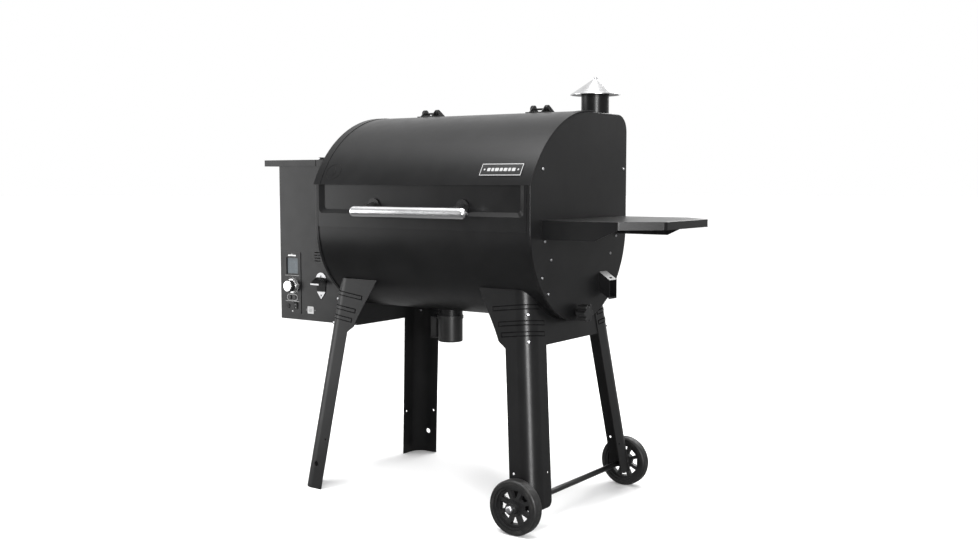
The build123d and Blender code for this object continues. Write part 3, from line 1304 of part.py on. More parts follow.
with BuildPart() as probe_jack:
    with BuildSketch(facing(PANEL_FACE_Y)):
        with Locations((BARREL_X + JACK_X, JACK_Z)):
            Circle(7)
    extrude(amount=2)
    with BuildSketch(facing(PANEL_FACE_Y + 14)):
        with Locations((BARREL_X + JACK_X, JACK_Z)):
            Circle(5)
    extrude(amount=14)
    with BuildSketch(facing(PANEL_FACE_Y + 12)):
        with Locations((BARREL_X + JACK_X, JACK_Z)):
            Circle(1.8)
    extrude(amount=14, mode=Mode.SUBTRACT)
save(probe_jack, "probe_jack")

with BuildPart() as control_board:
    with BuildSketch(facing(-54)):
        with Locations((BARREL_X + PANEL_X, 590)):
            Rectangle(64, 170)
    extrude(amount=1.6)
    for x, z, width, height, depth in ((-14, 40, 24, 30, 6), (16, -50, 20, 20, 10), (-16, -60, 14, 18, 8)):
        with BuildSketch(facing(-55.6)):
            with Locations((BARREL_X + PANEL_X + x, 590 + z)):
                Rectangle(width, height)
        extrude(amount=depth)
save(control_board, "control_board")

with BuildPart() as power_inlet:
    with BuildSketch(facing(HOPPER_REAR_Y + 3)):
        with Locations((BARREL_X - 640, 520)):
            RectangleRounded(50, 28, 5)
    extrude(amount=3)
    with BuildSketch(facing(HOPPER_REAR_Y)):
        with Locations((BARREL_X - 640, 520)):
            Rectangle(28, 20)
    extrude(amount=24)
    with BuildSketch(facing(HOPPER_REAR_Y + 3)):
        with Locations((BARREL_X - 640, 520)):
            Rectangle(24, 16)
    extrude(amount=20, mode=Mode.SUBTRACT)
    with BuildSketch(facing(HOPPER_REAR_Y - 1)):
        with Locations((BARREL_X - 647, 518), (BARREL_X - 633, 518), (BARREL_X - 640, 522)):
            Rectangle(2, 4)
    extrude(amount=18)
save(power_inlet, "power_inlet")

# ---------------------------------------------------------------- small fittings
with BuildPart() as bottle_opener:
    with BuildSketch(facing(HOPPER_FRONT_Y)):
        with Locations((BARREL_X + OPENER_X, 610)):
            Circle(OPENER_HALF)
        with BuildLine():
            Polyline((BARREL_X + OPENER_X - OPENER_HALF, 608), (BARREL_X + OPENER_X + OPENER_HALF, 608),
                     (BARREL_X + OPENER_X + 17, 568), (BARREL_X + OPENER_X, 547),
                     (BARREL_X + OPENER_X - 17, 568), close=True)
        make_face()
    extrude(amount=SHEET)
    # hood that hooks under a bottle's cap
    with BuildSketch(across(OPENER_X - OPENER_HOOD_HALF)):
        with BuildLine():
            Polyline((PANEL_FACE_Y + 0.5, 617), (-98, 609), (-112, 599), (-112, 594), (-109.5, 594),
                     (-109.5, 597.5), (-97, 606.5), (PANEL_FACE_Y + 0.5, 614), close=True)
        make_face()
    extrude(amount=2 * OPENER_HOOD_HALF)
save(bottle_opener, "bottle_opener")

with BuildPart() as label_plate:
    with BuildSketch(facing(HOPPER_FRONT_Y)):
        with Locations((BARREL_X + LABEL_X, LABEL_Z)):
            RectangleRounded(LABEL_W, LABEL_H, 2)
    extrude(amount=1)
    with BuildSketch(facing(HOPPER_FRONT_Y)):
        with Locations((BARREL_X + LABEL_X - LABEL_RIVET_X, LABEL_Z),
                       (BARREL_X + LABEL_X + LABEL_RIVET_X, LABEL_Z)):
            Circle(2)
    extrude(amount=1.5)
save(label_plate, "label_plate")


def screw_set(plane, places, shank):
    """Round-headed screws on a face, at (across, up) places, with their shanks behind it."""
    with BuildPart() as screws:
        with BuildSketch(plane):
            with Locations(*places):
                Circle(SCREW_R)
        extrude(amount=SCREW_H)
        fillet(screws.faces().sort_by(lambda f: -f.center().dot(plane.z_dir))[:len(places)].edges(), 1.5)
        with BuildSketch(plane):
            with Locations(*places):
                Circle(2)
        extrude(amount=-shank)
    return screws


right_screws = screw_set(Plane.YZ.offset(BARREL_RIGHT), PLATE_SCREWS + RIGHT_PLATE_SCREWS, SHEET)
left_screws = screw_set(Plane(origin=(BARREL_LEFT, 0, 0), x_dir=(0, -1, 0), z_dir=(-1, 0, 0)),
                        [(-y, z) for y, z in PLATE_SCREWS], SHEET)
with BuildPart() as body_screws:
    add(right_screws.part)
    add(left_screws.part)
save(body_screws, "body_screws")
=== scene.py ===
"""Looks for the pellet smoker grill: finishes, fine detail, studio light and camera."""

import json
from math import cos, pi, radians, sin

import bmesh
import bpy
from mathutils import Matrix, Vector
from mathutils.bvhtree import BVHTree


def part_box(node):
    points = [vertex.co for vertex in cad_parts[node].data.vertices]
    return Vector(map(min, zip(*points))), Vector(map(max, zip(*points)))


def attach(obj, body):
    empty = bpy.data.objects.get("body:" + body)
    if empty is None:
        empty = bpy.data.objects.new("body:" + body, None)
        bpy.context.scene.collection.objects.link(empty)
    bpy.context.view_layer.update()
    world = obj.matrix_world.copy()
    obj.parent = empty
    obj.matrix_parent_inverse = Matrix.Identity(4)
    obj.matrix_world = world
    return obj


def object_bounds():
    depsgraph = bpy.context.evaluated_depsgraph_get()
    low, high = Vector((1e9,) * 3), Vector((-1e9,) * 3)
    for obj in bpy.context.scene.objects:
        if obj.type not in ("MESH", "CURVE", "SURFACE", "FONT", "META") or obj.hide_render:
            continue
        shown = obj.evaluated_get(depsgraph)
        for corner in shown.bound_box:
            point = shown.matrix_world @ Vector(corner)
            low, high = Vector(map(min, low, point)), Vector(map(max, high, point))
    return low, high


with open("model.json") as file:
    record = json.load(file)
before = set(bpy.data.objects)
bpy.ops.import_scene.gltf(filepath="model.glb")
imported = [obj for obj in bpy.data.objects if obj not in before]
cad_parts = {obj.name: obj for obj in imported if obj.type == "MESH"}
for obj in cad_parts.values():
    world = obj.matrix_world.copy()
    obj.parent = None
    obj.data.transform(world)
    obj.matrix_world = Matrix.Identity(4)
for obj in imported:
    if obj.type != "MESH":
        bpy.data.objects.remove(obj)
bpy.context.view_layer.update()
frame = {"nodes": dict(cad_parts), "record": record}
NODES = frame["nodes"]
MM = 0.001


# ---------------------------------------------------------------- material recipes
def set_span(node, span):
    """Sets a Map Range node's two ranges."""
    for socket, value in zip(("From Min", "From Max", "To Min", "To Max"), span):
        node.inputs[socket].default_value = value


class Finish:
    """A node material being made: one Principled shader and the textures that feed it."""

    def __init__(self, name, **constants):
        self.material = bpy.data.materials.new(name)
        self.material.use_nodes = True
        self.nodes = self.material.node_tree.nodes
        self.links = self.material.node_tree.links
        self.shader = self.nodes["Principled BSDF"]
        self.place = self.nodes.new("ShaderNodeTexCoord").outputs["Object"]
        for socket, value in constants.items():
            self.shader.inputs[socket.replace("_", " ")].default_value = value

    def moved(self, origin):
        """Makes origin, a point of the row frame, the textures' own centre."""
        node = self.nodes.new("ShaderNodeVectorMath")
        node.operation = "SUBTRACT"
        self.links.new(self.place, node.inputs[0])
        node.inputs[1].default_value = origin
        self.place = node.outputs["Vector"]
        return self

    def stretched(self, stretch):
        node = self.nodes.new("ShaderNodeVectorMath")
        node.operation = "MULTIPLY"
        self.links.new(self.place, node.inputs[0])
        node.inputs[1].default_value = stretch
        return node.outputs["Vector"]

    def noise(self, per_metre, detail=3.0, stretch=(1, 1, 1)):
        node = self.nodes.new("ShaderNodeTexNoise")
        node.inputs["Scale"].default_value = per_metre
        node.inputs["Detail"].default_value = detail
        self.links.new(self.stretched(stretch), node.inputs["Vector"])
        return node.outputs["Fac"]

    def cells(self, per_metre, stretch=(1, 1, 1)):
        node = self.nodes.new("ShaderNodeTexVoronoi")
        node.inputs["Scale"].default_value = per_metre
        self.links.new(self.stretched(stretch), node.inputs["Vector"])
        return node.outputs["Distance"]

    def span(self, source, low, high, at_low=0.0, at_high=1.0):
        """source, from low to high, as a number from at_low to at_high."""
        node = self.nodes.new("ShaderNodeMapRange")
        set_span(node, (low, high, at_low, at_high))
        self.links.new(source, node.inputs["Value"])
        return node.outputs["Result"]

    def along(self, axis):
        """Where the surface is along one of the row frame's axes."""
        node = self.nodes.new("ShaderNodeSeparateXYZ")
        self.links.new(self.place, node.inputs[0])
        return node.outputs[axis]

    def facing(self, axis):
        """How far the surface faces along one of the row frame's axes, from -1 to 1."""
        geometry = self.nodes.new("ShaderNodeTexCoord")
        node = self.nodes.new("ShaderNodeSeparateXYZ")
        self.links.new(geometry.outputs["Normal"], node.inputs[0])
        return node.outputs[axis]

    def times(self, first, second):
        node = self.nodes.new("ShaderNodeMath")
        node.operation = "MULTIPLY"
        for socket, value in zip(node.inputs, (first, second)):
            if isinstance(value, (int, float)):
                socket.default_value = value
            else:
                self.links.new(value, socket)
        return node.outputs[0]

    def blend(self, share, first, second):
        """A colour from first, where share is 0, to second, where it is 1."""
        node = self.nodes.new("ShaderNodeMix")
        node.data_type = "RGBA"
        self.links.new(share, node.inputs["Factor"])
        for socket, colour in ((node.inputs[6], first), (node.inputs[7], second)):
            if isinstance(colour, (tuple, list)):
                socket.default_value = (*colour, 1)
            else:
                self.links.new(colour, socket)
        return node.outputs[2]

    def edges(self, reach, samples=4):
        """About 1 within reach of a sharp edge and 0 on open faces."""
        bevel = self.nodes.new("ShaderNodeBevel")
        bevel.samples = samples
        bevel.inputs["Radius"].default_value = reach
        geometry = self.nodes.new("ShaderNodeNewGeometry")
        dot = self.nodes.new("ShaderNodeVectorMath")
        dot.operation = "DOT_PRODUCT"
        self.links.new(bevel.outputs["Normal"], dot.inputs[0])
        self.links.new(geometry.outputs["Normal"], dot.inputs[1])
        return self.span(dot.outputs["Value"], 0.995, 0.9)

    def openness(self, reach, shut, clear, samples=8):
        """From 0 deep in a groove to 1 on open faces, looking no further than reach."""
        node = self.nodes.new("ShaderNodeAmbientOcclusion")
        node.samples = samples
        node.only_local = True
        node.inputs["Distance"].default_value = reach
        return self.span(node.outputs["AO"], shut, clear)

    def bump(self, source, depth, strength=1.0):
        """Adds relief of that depth, in metres, on top of any relief already there."""
        node = self.nodes.new("ShaderNodeBump")
        node.inputs["Distance"].default_value = depth
        node.inputs["Strength"].default_value = strength
        self.links.new(source, node.inputs["Height"])
        if self.shader.inputs["Normal"].is_linked:
            self.links.new(self.shader.inputs["Normal"].links[0].from_socket, node.inputs["Normal"])
        self.links.new(node.outputs["Normal"], self.shader.inputs["Normal"])
        return self

    def colour(self, source):
        self.links.new(source, self.shader.inputs["Base Color"])
        return self

    def rough(self, source):
        self.links.new(source, self.shader.inputs["Roughness"])
        return self


def powder_coat(name, dark, light, smooth, matt, gloss=0.35, painted_groove_shade=False):
    """Baked powder coat: fine orange peel, slow changes of sheen, and patchy lighter edges that are
    partly wear and partly a painted highlight.
    """
    finish = Finish(name, Specular_IOR_Level=gloss)
    mottle = finish.span(finish.noise(9, 4), 0.35, 0.65)
    body = finish.blend(mottle, dark, light)
    # partly wear, partly painted highlight: a patchy lighter colour within 1.2 mm of sharp edges
    wear_and_edge_highlight = finish.times(finish.edges(1.2 * MM), finish.span(finish.noise(60, 3), 0.45, 0.62))
    finish.colour(finish.blend(finish.times(wear_and_edge_highlight, 0.5), body, tuple(4 * c for c in light)))
    finish.rough(finish.span(finish.noise(26, 4), 0.3, 0.7, smooth, matt))
    finish.bump(finish.noise(260, 2), 0.05 * MM, 0.35)
    finish.bump(finish.noise(1500, 2), 0.02 * MM, 0.35)
    if painted_groove_shade:  # painted shade: an occlusion term cuts the coat's gloss down in each pressed groove, so the groove reads dark
        gloss_with_painted_groove_shade = finish.times(finish.openness(6 * MM, 0.6, 0.92), gloss)
        finish.links.new(gloss_with_painted_groove_shade, finish.shader.inputs["Specular IOR Level"])
    return finish.material


def brushed(name, dark, light, smooth, matt, along=(1, 60, 60), per_metre=45):
    """Metal with a brushed grain along the axis that along stretches least."""
    finish = Finish(name, Metallic=1.0)
    grain = finish.noise(per_metre, 5, along)
    cloud = finish.noise(14, 3)
    finish.colour(finish.blend(finish.span(grain, 0.3, 0.7), dark, light))
    finish.rough(finish.span(cloud, 0.3, 0.7, smooth, matt))
    finish.bump(grain, 0.02 * MM, 0.4)
    return finish.material


def turned(name, origin, dark, light, smooth, matt):
    """Sheet metal spun on a lathe: a grain of fine rings about a vertical axis, with soft streaks."""
    finish = Finish(name, Metallic=1.0).moved(origin)
    rings = finish.noise(10, 4, (1, 1, 80))
    cloud = finish.noise(22, 3)
    finish.colour(finish.blend(finish.span(cloud, 0.3, 0.7), dark, light))
    finish.rough(finish.span(rings, 0.3, 0.7, smooth, matt))
    finish.bump(rings, 0.03 * MM, 0.4)
    return finish.material


def plated(name, dark, light, smooth, matt):
    """Zinc or nickel plate: small crystals and slight staining."""
    finish = Finish(name, Metallic=1.0)
    spangle = finish.cells(700)
    finish.colour(finish.blend(finish.span(finish.noise(120, 3), 0.3, 0.7), dark, light))
    finish.rough(finish.span(spangle, 0.0, 0.6, smooth, matt))
    finish.bump(spangle, 0.02 * MM, 0.3)
    return finish.material


def moulded(name, dark, light, smooth, matt, grain=1400):
    """Moulded plastic with an even leather-fine grain."""
    finish = Finish(name, Specular_IOR_Level=0.4)
    finish.colour(finish.blend(finish.span(finish.noise(30, 4), 0.3, 0.7), dark, light))
    finish.rough(finish.span(finish.noise(70, 3), 0.3, 0.7, smooth, matt))
    finish.bump(finish.cells(grain), 0.04 * MM, 0.35)
    return finish.material


def tyre_plastic(name):
    """Black tyre: matt, faintly dusty where it has rolled."""
    finish = Finish(name, Specular_IOR_Level=0.35)
    dust = finish.span(finish.noise(55, 5), 0.5, 0.8)
    finish.colour(finish.blend(dust, (0.008, 0.008, 0.008), (0.022, 0.021, 0.02)))
    finish.rough(finish.span(finish.noise(90, 3), 0.3, 0.7, 0.42, 0.6))
    finish.bump(finish.cells(900), 0.05 * MM, 0.4)
    return finish.material


def cast_iron(name):
    """Rough cast iron with a little rust."""
    finish = Finish(name, Metallic=0.6)
    rust = finish.span(finish.noise(35, 5), 0.5, 0.75)
    finish.colour(finish.blend(rust, (0.05, 0.048, 0.045), (0.11, 0.06, 0.035)))
    finish.rough(finish.span(finish.noise(80, 3), 0.3, 0.7, 0.5, 0.8))
    finish.bump(finish.noise(400, 4), 0.3 * MM, 0.5)
    return finish.material


def enamel(name, dark, light):
    """Porcelain enamel: glossy, with pale specks and a soft ripple."""
    finish = Finish(name, Specular_IOR_Level=0.5)
    specks = finish.span(finish.cells(420), 0.16, 0.1)
    finish.colour(finish.blend(specks, dark, light))
    finish.rough(finish.span(finish.noise(40, 3), 0.3, 0.7, 0.18, 0.34))
    finish.bump(finish.noise(140, 2), 0.08 * MM, 0.4)
    return finish.material


def heated_steel(name):
    """Plain steel that has been heated: straw and brown tints over a dull grain."""
    finish = Finish(name, Metallic=0.8)
    tint = finish.span(finish.noise(9, 4), 0.4, 0.7)
    finish.colour(finish.blend(tint, (0.06, 0.058, 0.055), (0.13, 0.085, 0.05)))
    finish.rough(finish.span(finish.noise(60, 4), 0.3, 0.7, 0.38, 0.6))
    finish.bump(finish.noise(600, 3), 0.04 * MM, 0.4)
    return finish.material


def painted(name, dark, light, smooth, matt):
    """Smooth spray paint."""
    finish = Finish(name)
    finish.colour(finish.blend(finish.span(finish.noise(40, 4), 0.3, 0.7), dark, light))
    finish.rough(finish.span(finish.noise(90, 3), 0.3, 0.7, smooth, matt))
    finish.bump(finish.noise(900, 2), 0.02 * MM, 0.35)
    return finish.material


def circuit_board(name):
    """Green solder mask over a pattern of tracks."""
    finish = Finish(name)
    tracks = finish.nodes.new("ShaderNodeTexBrick")
    tracks.inputs["Scale"].default_value = 160
    tracks.inputs["Mortar Size"].default_value = 0.035
    tracks.inputs["Color1"].default_value = (0.012, 0.09, 0.035, 1)
    tracks.inputs["Color2"].default_value = (0.016, 0.11, 0.045, 1)
    tracks.inputs["Mortar"].default_value = (0.05, 0.2, 0.08, 1)
    finish.links.new(finish.place, tracks.inputs["Vector"])
    finish.colour(tracks.outputs["Color"])
    finish.rough(finish.span(finish.noise(200, 2), 0.3, 0.7, 0.3, 0.45))
    finish.bump(tracks.outputs["Fac"], 0.05 * MM, 0.4)
    return finish.material


def display_grey(name):
    """An unlit liquid crystal display behind its clear cover."""
    finish = Finish(name, Specular_IOR_Level=0.25)
    shade = finish.span(finish.noise(18, 2), 0.35, 0.65)
    finish.colour(finish.blend(shade, (0.052, 0.062, 0.07), (0.066, 0.076, 0.084)))
    finish.rough(finish.span(finish.noise(260, 3), 0.3, 0.7, 0.3, 0.4))
    finish.bump(finish.cells(2500), 0.01 * MM, 0.2)
    return finish.material


def printed(name, colour, dim=0.85):
    """A thin layer of screen-printed ink."""
    finish = Finish(name)
    patchy = finish.span(finish.noise(500, 3), 0.35, 0.6)
    finish.colour(finish.blend(patchy, tuple(dim * c for c in colour), colour))
    finish.rough(finish.span(finish.noise(300, 2), 0.3, 0.7, 0.38, 0.52))
    finish.bump(finish.noise(1800, 2), 0.01 * MM, 0.3)
    return finish.material


def grey(tone, blue=0.0):
    """A grey, or one with a little more blue."""
    return (tone, tone, tone + blue)


cap_low, cap_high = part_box("chimney_cap")
cap_middle = (cap_low + cap_high) / 2
COAT_TONES = grey(0.0036, 0.0002), grey(0.0052, 0.0002)
COAT = powder_coat("black_coat", *COAT_TONES, 0.3, 0.36, 0.22)
SLOTS = {
    "black_powder_coat": COAT,
    "lid_powder_coat": powder_coat("lid_coat", *COAT_TONES, 0.28, 0.34, 0.24),
    "black_hardware": powder_coat("hardware_black", grey(0.005), grey(0.008), 0.3, 0.4),
    "stainless": brushed("stainless_bar", grey(0.86, 0.01), grey(0.93, 0.01), 0.2, 0.26),
    "polished_steel": turned("cap_steel", cap_middle, grey(0.6, 0.005), grey(0.7, 0.005), 0.16, 0.28),
    "zinc": plated("zinc_plate", grey(0.5, 0.01), grey(0.68, 0.02), 0.22, 0.4),
    "ash_cup_coat": powder_coat("cup_coat", grey(0.006), grey(0.01), 0.34, 0.42),
    "black_plastic": moulded("black_moulding", grey(0.006, 0.0002), grey(0.011, 0.0002), 0.36, 0.5),
    "tyre_rubber": tyre_plastic("tyre_black"),
    "knob_silver": brushed("knob_satin", grey(0.72), grey(0.84), 0.25, 0.34, (60, 1, 60)),
    "display_glass": display_grey("display_grey"),
    "label_white": brushed("label_satin", grey(0.62, 0.01), grey(0.78, 0.01), 0.3, 0.42),
    "board_green": circuit_board("board_mask"),
    "motor_grey": painted("motor_paint", grey(0.13, 0.005), grey(0.19, 0.005), 0.35, 0.5),
    "cast_pot": cast_iron("pot_iron"),
    "cooking_steel": heated_steel("tray_steel"),
    "grate_enamel": enamel("grate_porcelain", grey(0.012, 0.001), grey(0.09, 0.005)),
}


# the legs' coat, with painted shade down in each pressed groove
LEG_COAT = powder_coat("leg_coat", *COAT_TONES, 0.3, 0.36, 0.22, painted_groove_shade=True)
# the colour of the opener's painted shade, on its tilted hood and in the hood's painted shadow
HOOD_SHADE = grey(0.012)
HOOD_FOOT = 22 * MM  # from the opener's tip up to where the hood's painted shadow starts on its plate
HOOD_TOP = 62 * MM
SHADE_EDGE = 3 * MM
PLATE_DEPTH = 6 * MM


def opener_steel():
    """Brushed steel with painted shade: dark on the tilted hood, and a painted shadow of the hood, set
    by height, on the plate below it.
    """
    finish = Finish("opener_steel", Metallic=1.0)
    grain = finish.span(finish.noise(45, 3, (60, 60, 1)), 0.3, 0.7)
    plate_tone = finish.blend(grain, grey(0.3, 0.005), grey(0.4, 0.005))
    low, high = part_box("bottle_opener")
    # painted shade: faces tilted well away from upright, the hood's, take the dark colour
    tilt = finish.times(finish.facing("Z"), finish.facing("Z"))
    tone = finish.blend(finish.span(tilt, 0.05, 0.2), plate_tone, HOOD_SHADE)
    # painted shadow of the hood: a band of the plate, set by height and depth, takes the dark colour
    height = finish.along("Z")
    painted_hood_shadow = finish.times(
        finish.span(height, low.z + HOOD_FOOT, low.z + HOOD_FOOT + SHADE_EDGE),
        finish.span(height, low.z + HOOD_TOP, low.z + HOOD_TOP - SHADE_EDGE))
    on_plate = finish.span(finish.along("Y"), high.y - PLATE_DEPTH - 2 * MM, high.y - PLATE_DEPTH)
    finish.colour(finish.blend(finish.times(painted_hood_shadow, on_plate), tone, HOOD_SHADE))
    finish.rough(finish.span(grain, 0.0, 1.0, 0.3, 0.42))
    finish.bump(finish.noise(900, 2, (4, 4, 1)), 0.01 * MM, 0.3)
    return finish.material


OWN_FINISHES = {
    **{f"leg_{end}": LEG_COAT for end in ("front_right", "front_left", "rear_right", "rear_left")},
    "bottle_opener": opener_steel(),
    "label_plate": painted("label_paint", grey(0.28), grey(0.36), 0.5, 0.62),
    "probe_jack": moulded("jack_black", grey(0.002), grey(0.004), 0.5, 0.6),
}


def dress_cad_nodes():
    """Gives each CAD node its slot's finish, or its own."""
    for part in frame["record"]["subparts"]:
        node = NODES[part["node"]]
        node.data.materials.clear()
        node.data.materials.append(OWN_FINISHES.get(part["node"], SLOTS[part["material_slot"]]))


dress_cad_nodes()


# ---------------------------------------------------------------- fine detail
INK = printed("panel_ink", (0.3, 0.3, 0.3))
PALE_INK = printed("pale_ink", (0.55, 0.55, 0.55))
DARK_INK = printed("dark_ink", (0.03, 0.03, 0.03))
SEGMENT_INK = printed("segment_ink", (0.035, 0.042, 0.048))
PRINT_H = 0.12 * MM


def new_piece(name, shape, finish, body):
    """Makes a mesh under construction into a piece that rides on a body."""
    bmesh.ops.recalc_face_normals(shape, faces=shape.faces)
    mesh = bpy.data.meshes.new(name)
    shape.to_mesh(mesh)
    shape.free()
    mesh.materials.append(finish)
    piece = bpy.data.objects.new(name, mesh)
    bpy.context.scene.collection.objects.link(piece)
    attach(piece, body)
    return piece


def middle(node):
    """The middle of a node's box."""
    low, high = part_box(node)
    return (low + high) / 2


def on_plane(origin, across, up):
    """A way to place (across, up, proud) points on the plane through origin."""
    across, up = Vector(across).normalized(), Vector(up).normalized()
    out = across.cross(up)
    return lambda u, v, w: origin + across * u + up * v + out * w


def on_front(node, x, z):
    """A way to place points on a node's surface as seen from the front, about (x, z)."""
    mesh = NODES[node].data
    tree = BVHTree.FromPolygons([v.co for v in mesh.vertices], [p.vertices for p in mesh.polygons])
    depth = tree.ray_cast(Vector((x, -2, z)), Vector((0, 1, 0)))[0].y

    def place(u, v, w):
        at, normal, _, _ = tree.ray_cast(Vector((x + u, -2, z + v)), Vector((0, 1, 0)))
        if at is None:
            at, normal = Vector((x + u, depth, z + v)), Vector((0, -1, 0))
        return at + normal * (w if normal.y < 0 else -w)
    return place


def oval(width, height, steps=48):
    """The outline of an ellipse, or of a polygon when it has few steps."""
    return [(width / 2 * cos(2 * pi * i / steps), height / 2 * sin(2 * pi * i / steps))
            for i in range(steps)]


def pill(width, height, steps=12):
    """The outline of a slot with round ends."""
    r = height / 2
    right = [(width / 2 - r + r * cos(a), r * sin(a))
             for a in (-pi / 2 + pi * i / steps for i in range(steps + 1))]
    return right + [(-u, -v) for u, v in right]


def box_outline(width, height, corner=0.0, cut=0.12):
    """A rectangle with small cut corners."""
    c = corner or cut * min(width, height)
    u, v = width / 2, height / 2
    return [(u, c - v), (u, v - c), (u - c, v), (c - u, v), (-u, v - c), (-u, c - v), (c - u, -v),
            (u - c, -v)]


def moved(outline, du, dv):
    """An outline, moved."""
    return [(u + du, v + dv) for u, v in outline]


def turned_by(outline, angle):
    """An outline, turned anticlockwise."""
    return [(u * cos(angle) - v * sin(angle), u * sin(angle) + v * cos(angle)) for u, v in outline]


def band(shape, outer, inner, place, low, high):
    """A closed ring between two outlines with the same number of points."""
    loops = [[shape.verts.new(place(u, v, w)) for u, v in outline]
             for outline, w in ((outer, low), (outer, high), (inner, high), (inner, low))]
    count = len(outer)
    for first, second in zip(loops, loops[1:] + loops[:1]):
        for i in range(count):
            shape.faces.new((first[i], first[(i + 1) % count], second[(i + 1) % count], second[i]))


def plate(shape, outline, place, low, high, chamfer=0.2):
    """A closed thin plate with chamfered upper edges."""
    mid_u = sum(u for u, v in outline) / len(outline)
    mid_v = sum(v for u, v in outline) / len(outline)
    inset = chamfer * (high - low)
    size = min(max(abs(u - mid_u) for u, v in outline), max(abs(v - mid_v) for u, v in outline))
    keep = 1 - min(0.5, inset / size)
    small = [(mid_u + keep * (u - mid_u), mid_v + keep * (v - mid_v)) for u, v in outline]
    loops = [[shape.verts.new(place(u, v, w)) for u, v in points]
             for points, w in ((outline, low), (outline, high - inset), (small, high))]
    count = len(outline)
    for first, second in zip(loops, loops[1:]):
        for i in range(count):
            shape.faces.new((first[i], first[(i + 1) % count], second[(i + 1) % count], second[i]))
    shape.faces.new(loops[0][::-1])
    shape.faces.new(loops[-1])


def word_bars(shape, place, widths, height, gap, at=(0, 0), high=PRINT_H):
    """A row of plain bars, where the object has wording that isn't copied."""
    u = at[0] - (sum(widths) + gap * (len(widths) - 1)) / 2
    for width in widths:
        plate(shape, moved(box_outline(width, height), u + width / 2, at[1]), place, -PRINT_H, high)
        u += width + gap


def make_badge():
    """The badge's pale border and plain bars, following the lid's curve."""
    low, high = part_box("badge_plate")
    centre = (low + high) / 2
    place = on_front("badge_plate", centre.x, centre.z)
    width, height = high.x - low.x, high.z - low.z
    shape = bmesh.new()
    edge, line, bar_h, bar_gap = 1.6 * MM, 1.7 * MM, 8.5 * MM, 3.5 * MM
    outer = border_outline(width - 2 * edge, height - 2 * edge)
    inner = border_outline(width - 2 * edge - 2 * line, height - 2 * edge - 2 * line)
    band(shape, outer, inner, place, -PRINT_H, 2 * PRINT_H)
    widths = [w * MM for w in (10, 8, 12, 9, 11, 8, 11)]
    word_bars(shape, place, widths, bar_h, bar_gap, (0, 0), 2 * PRINT_H)
    rivet_u, rivet_w = 54 * MM, 5 * MM
    for u in (-rivet_u, rivet_u):
        plate(shape, moved(oval(rivet_w, rivet_w, 20), u, 0), place, -PRINT_H, 3 * PRINT_H)
    new_piece("badge_print", shape, printed("badge_ink", (0.3, 0.3, 0.3)), "lid")


def border_outline(width, height, steps=10):
    """A rectangle with points along its sides, so that it can follow a curved surface."""
    u, v = width / 2, height / 2
    right = [(u, -v + 2 * v * i / steps) for i in range(steps)]
    top = [(u - 2 * u * i / steps, v) for i in range(steps)]
    return right + top + [(-a, -b) for a, b in right] + [(-a, -b) for a, b in top]


def make_emblem():
    """A plain raised oval at the lid's left, in the lid's own finish."""
    from_left, up = 62 * MM, 14 * MM
    place = on_front("lid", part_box("lid")[0].x + from_left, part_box("badge_plate")[0].z + up)
    shape = bmesh.new()
    band(shape, oval(58 * MM, 46 * MM), oval(53 * MM, 41 * MM), place, -0.2 * MM, 0.6 * MM)
    plate(shape, [(0, 13 * MM), (-7 * MM, 3 * MM), (-8 * MM, -5 * MM), (0, -13 * MM), (8 * MM, -5 * MM),
                  (7 * MM, 3 * MM)], place, -0.2 * MM, 0.6 * MM)
    new_piece("lid_emblem", shape, SLOTS["lid_powder_coat"], "lid")


def make_panel_print():
    """Everything printed on the control panel: lines, dial ring with ticks, and plain marks."""
    low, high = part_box("control_panel")
    ring_h = 0.8 * MM
    face_y = low.y + ring_h
    knob = middle("control_knob")
    screen_low, screen_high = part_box("display_screen")
    buttons = (middle("button_left") + middle("button_right")) / 2
    centre = Vector(((low.x + high.x) / 2, face_y, knob.z))
    place = on_plane(centre, (1, 0, 0), (0, 0, 1))
    shape = bmesh.new()
    width, line_w, margin = high.x - low.x, 0.9 * MM, 7 * MM
    under_screen, under_buttons = 3.6 * MM, 12.5 * MM
    for up in (screen_low.z - knob.z - under_screen, buttons.z - knob.z - under_buttons):
        line = box_outline(width - 2 * margin, line_w)
        plate(shape, moved(line, 0, up), place, -PRINT_H, PRINT_H)
    dial_u, dial_w, dial_hole = knob.x - centre.x, 50 * MM, 47.4 * MM
    tick_h, tick_r = 2.2 * MM, 28.2 * MM
    outer, inner = oval(dial_w, dial_w, 72), oval(dial_hole, dial_hole, 72)
    band(shape, moved(outer, dial_u, 0), moved(inner, dial_u, 0), place, ring_h - PRINT_H,
         ring_h + PRINT_H)
    for i in range(11):
        angle = radians(-135 + 27 * i)
        tick = turned_by(moved(box_outline(line_w, tick_h), 0, tick_r), -angle)
        plate(shape, moved(tick, dial_u, 0), place, -PRINT_H, PRINT_H)
    button_v = buttons.z - knob.z
    band(shape, moved(pill(46.8 * MM, 20.8 * MM), 0, button_v),
         moved(pill(44.2 * MM, 18.2 * MM), 0, button_v), place, ring_h - PRINT_H, ring_h + PRINT_H)
    new_piece("panel_print", shape, INK, "base")
    heading = bmesh.new()
    word_bars(heading, place, [w * MM for w in (5, 4, 6, 5, 4, 5)], 4.6 * MM, 1.1 * MM,
              (0, screen_high.z - knob.z + 6.5 * MM))
    new_piece("panel_heading", heading, PALE_INK, "base")


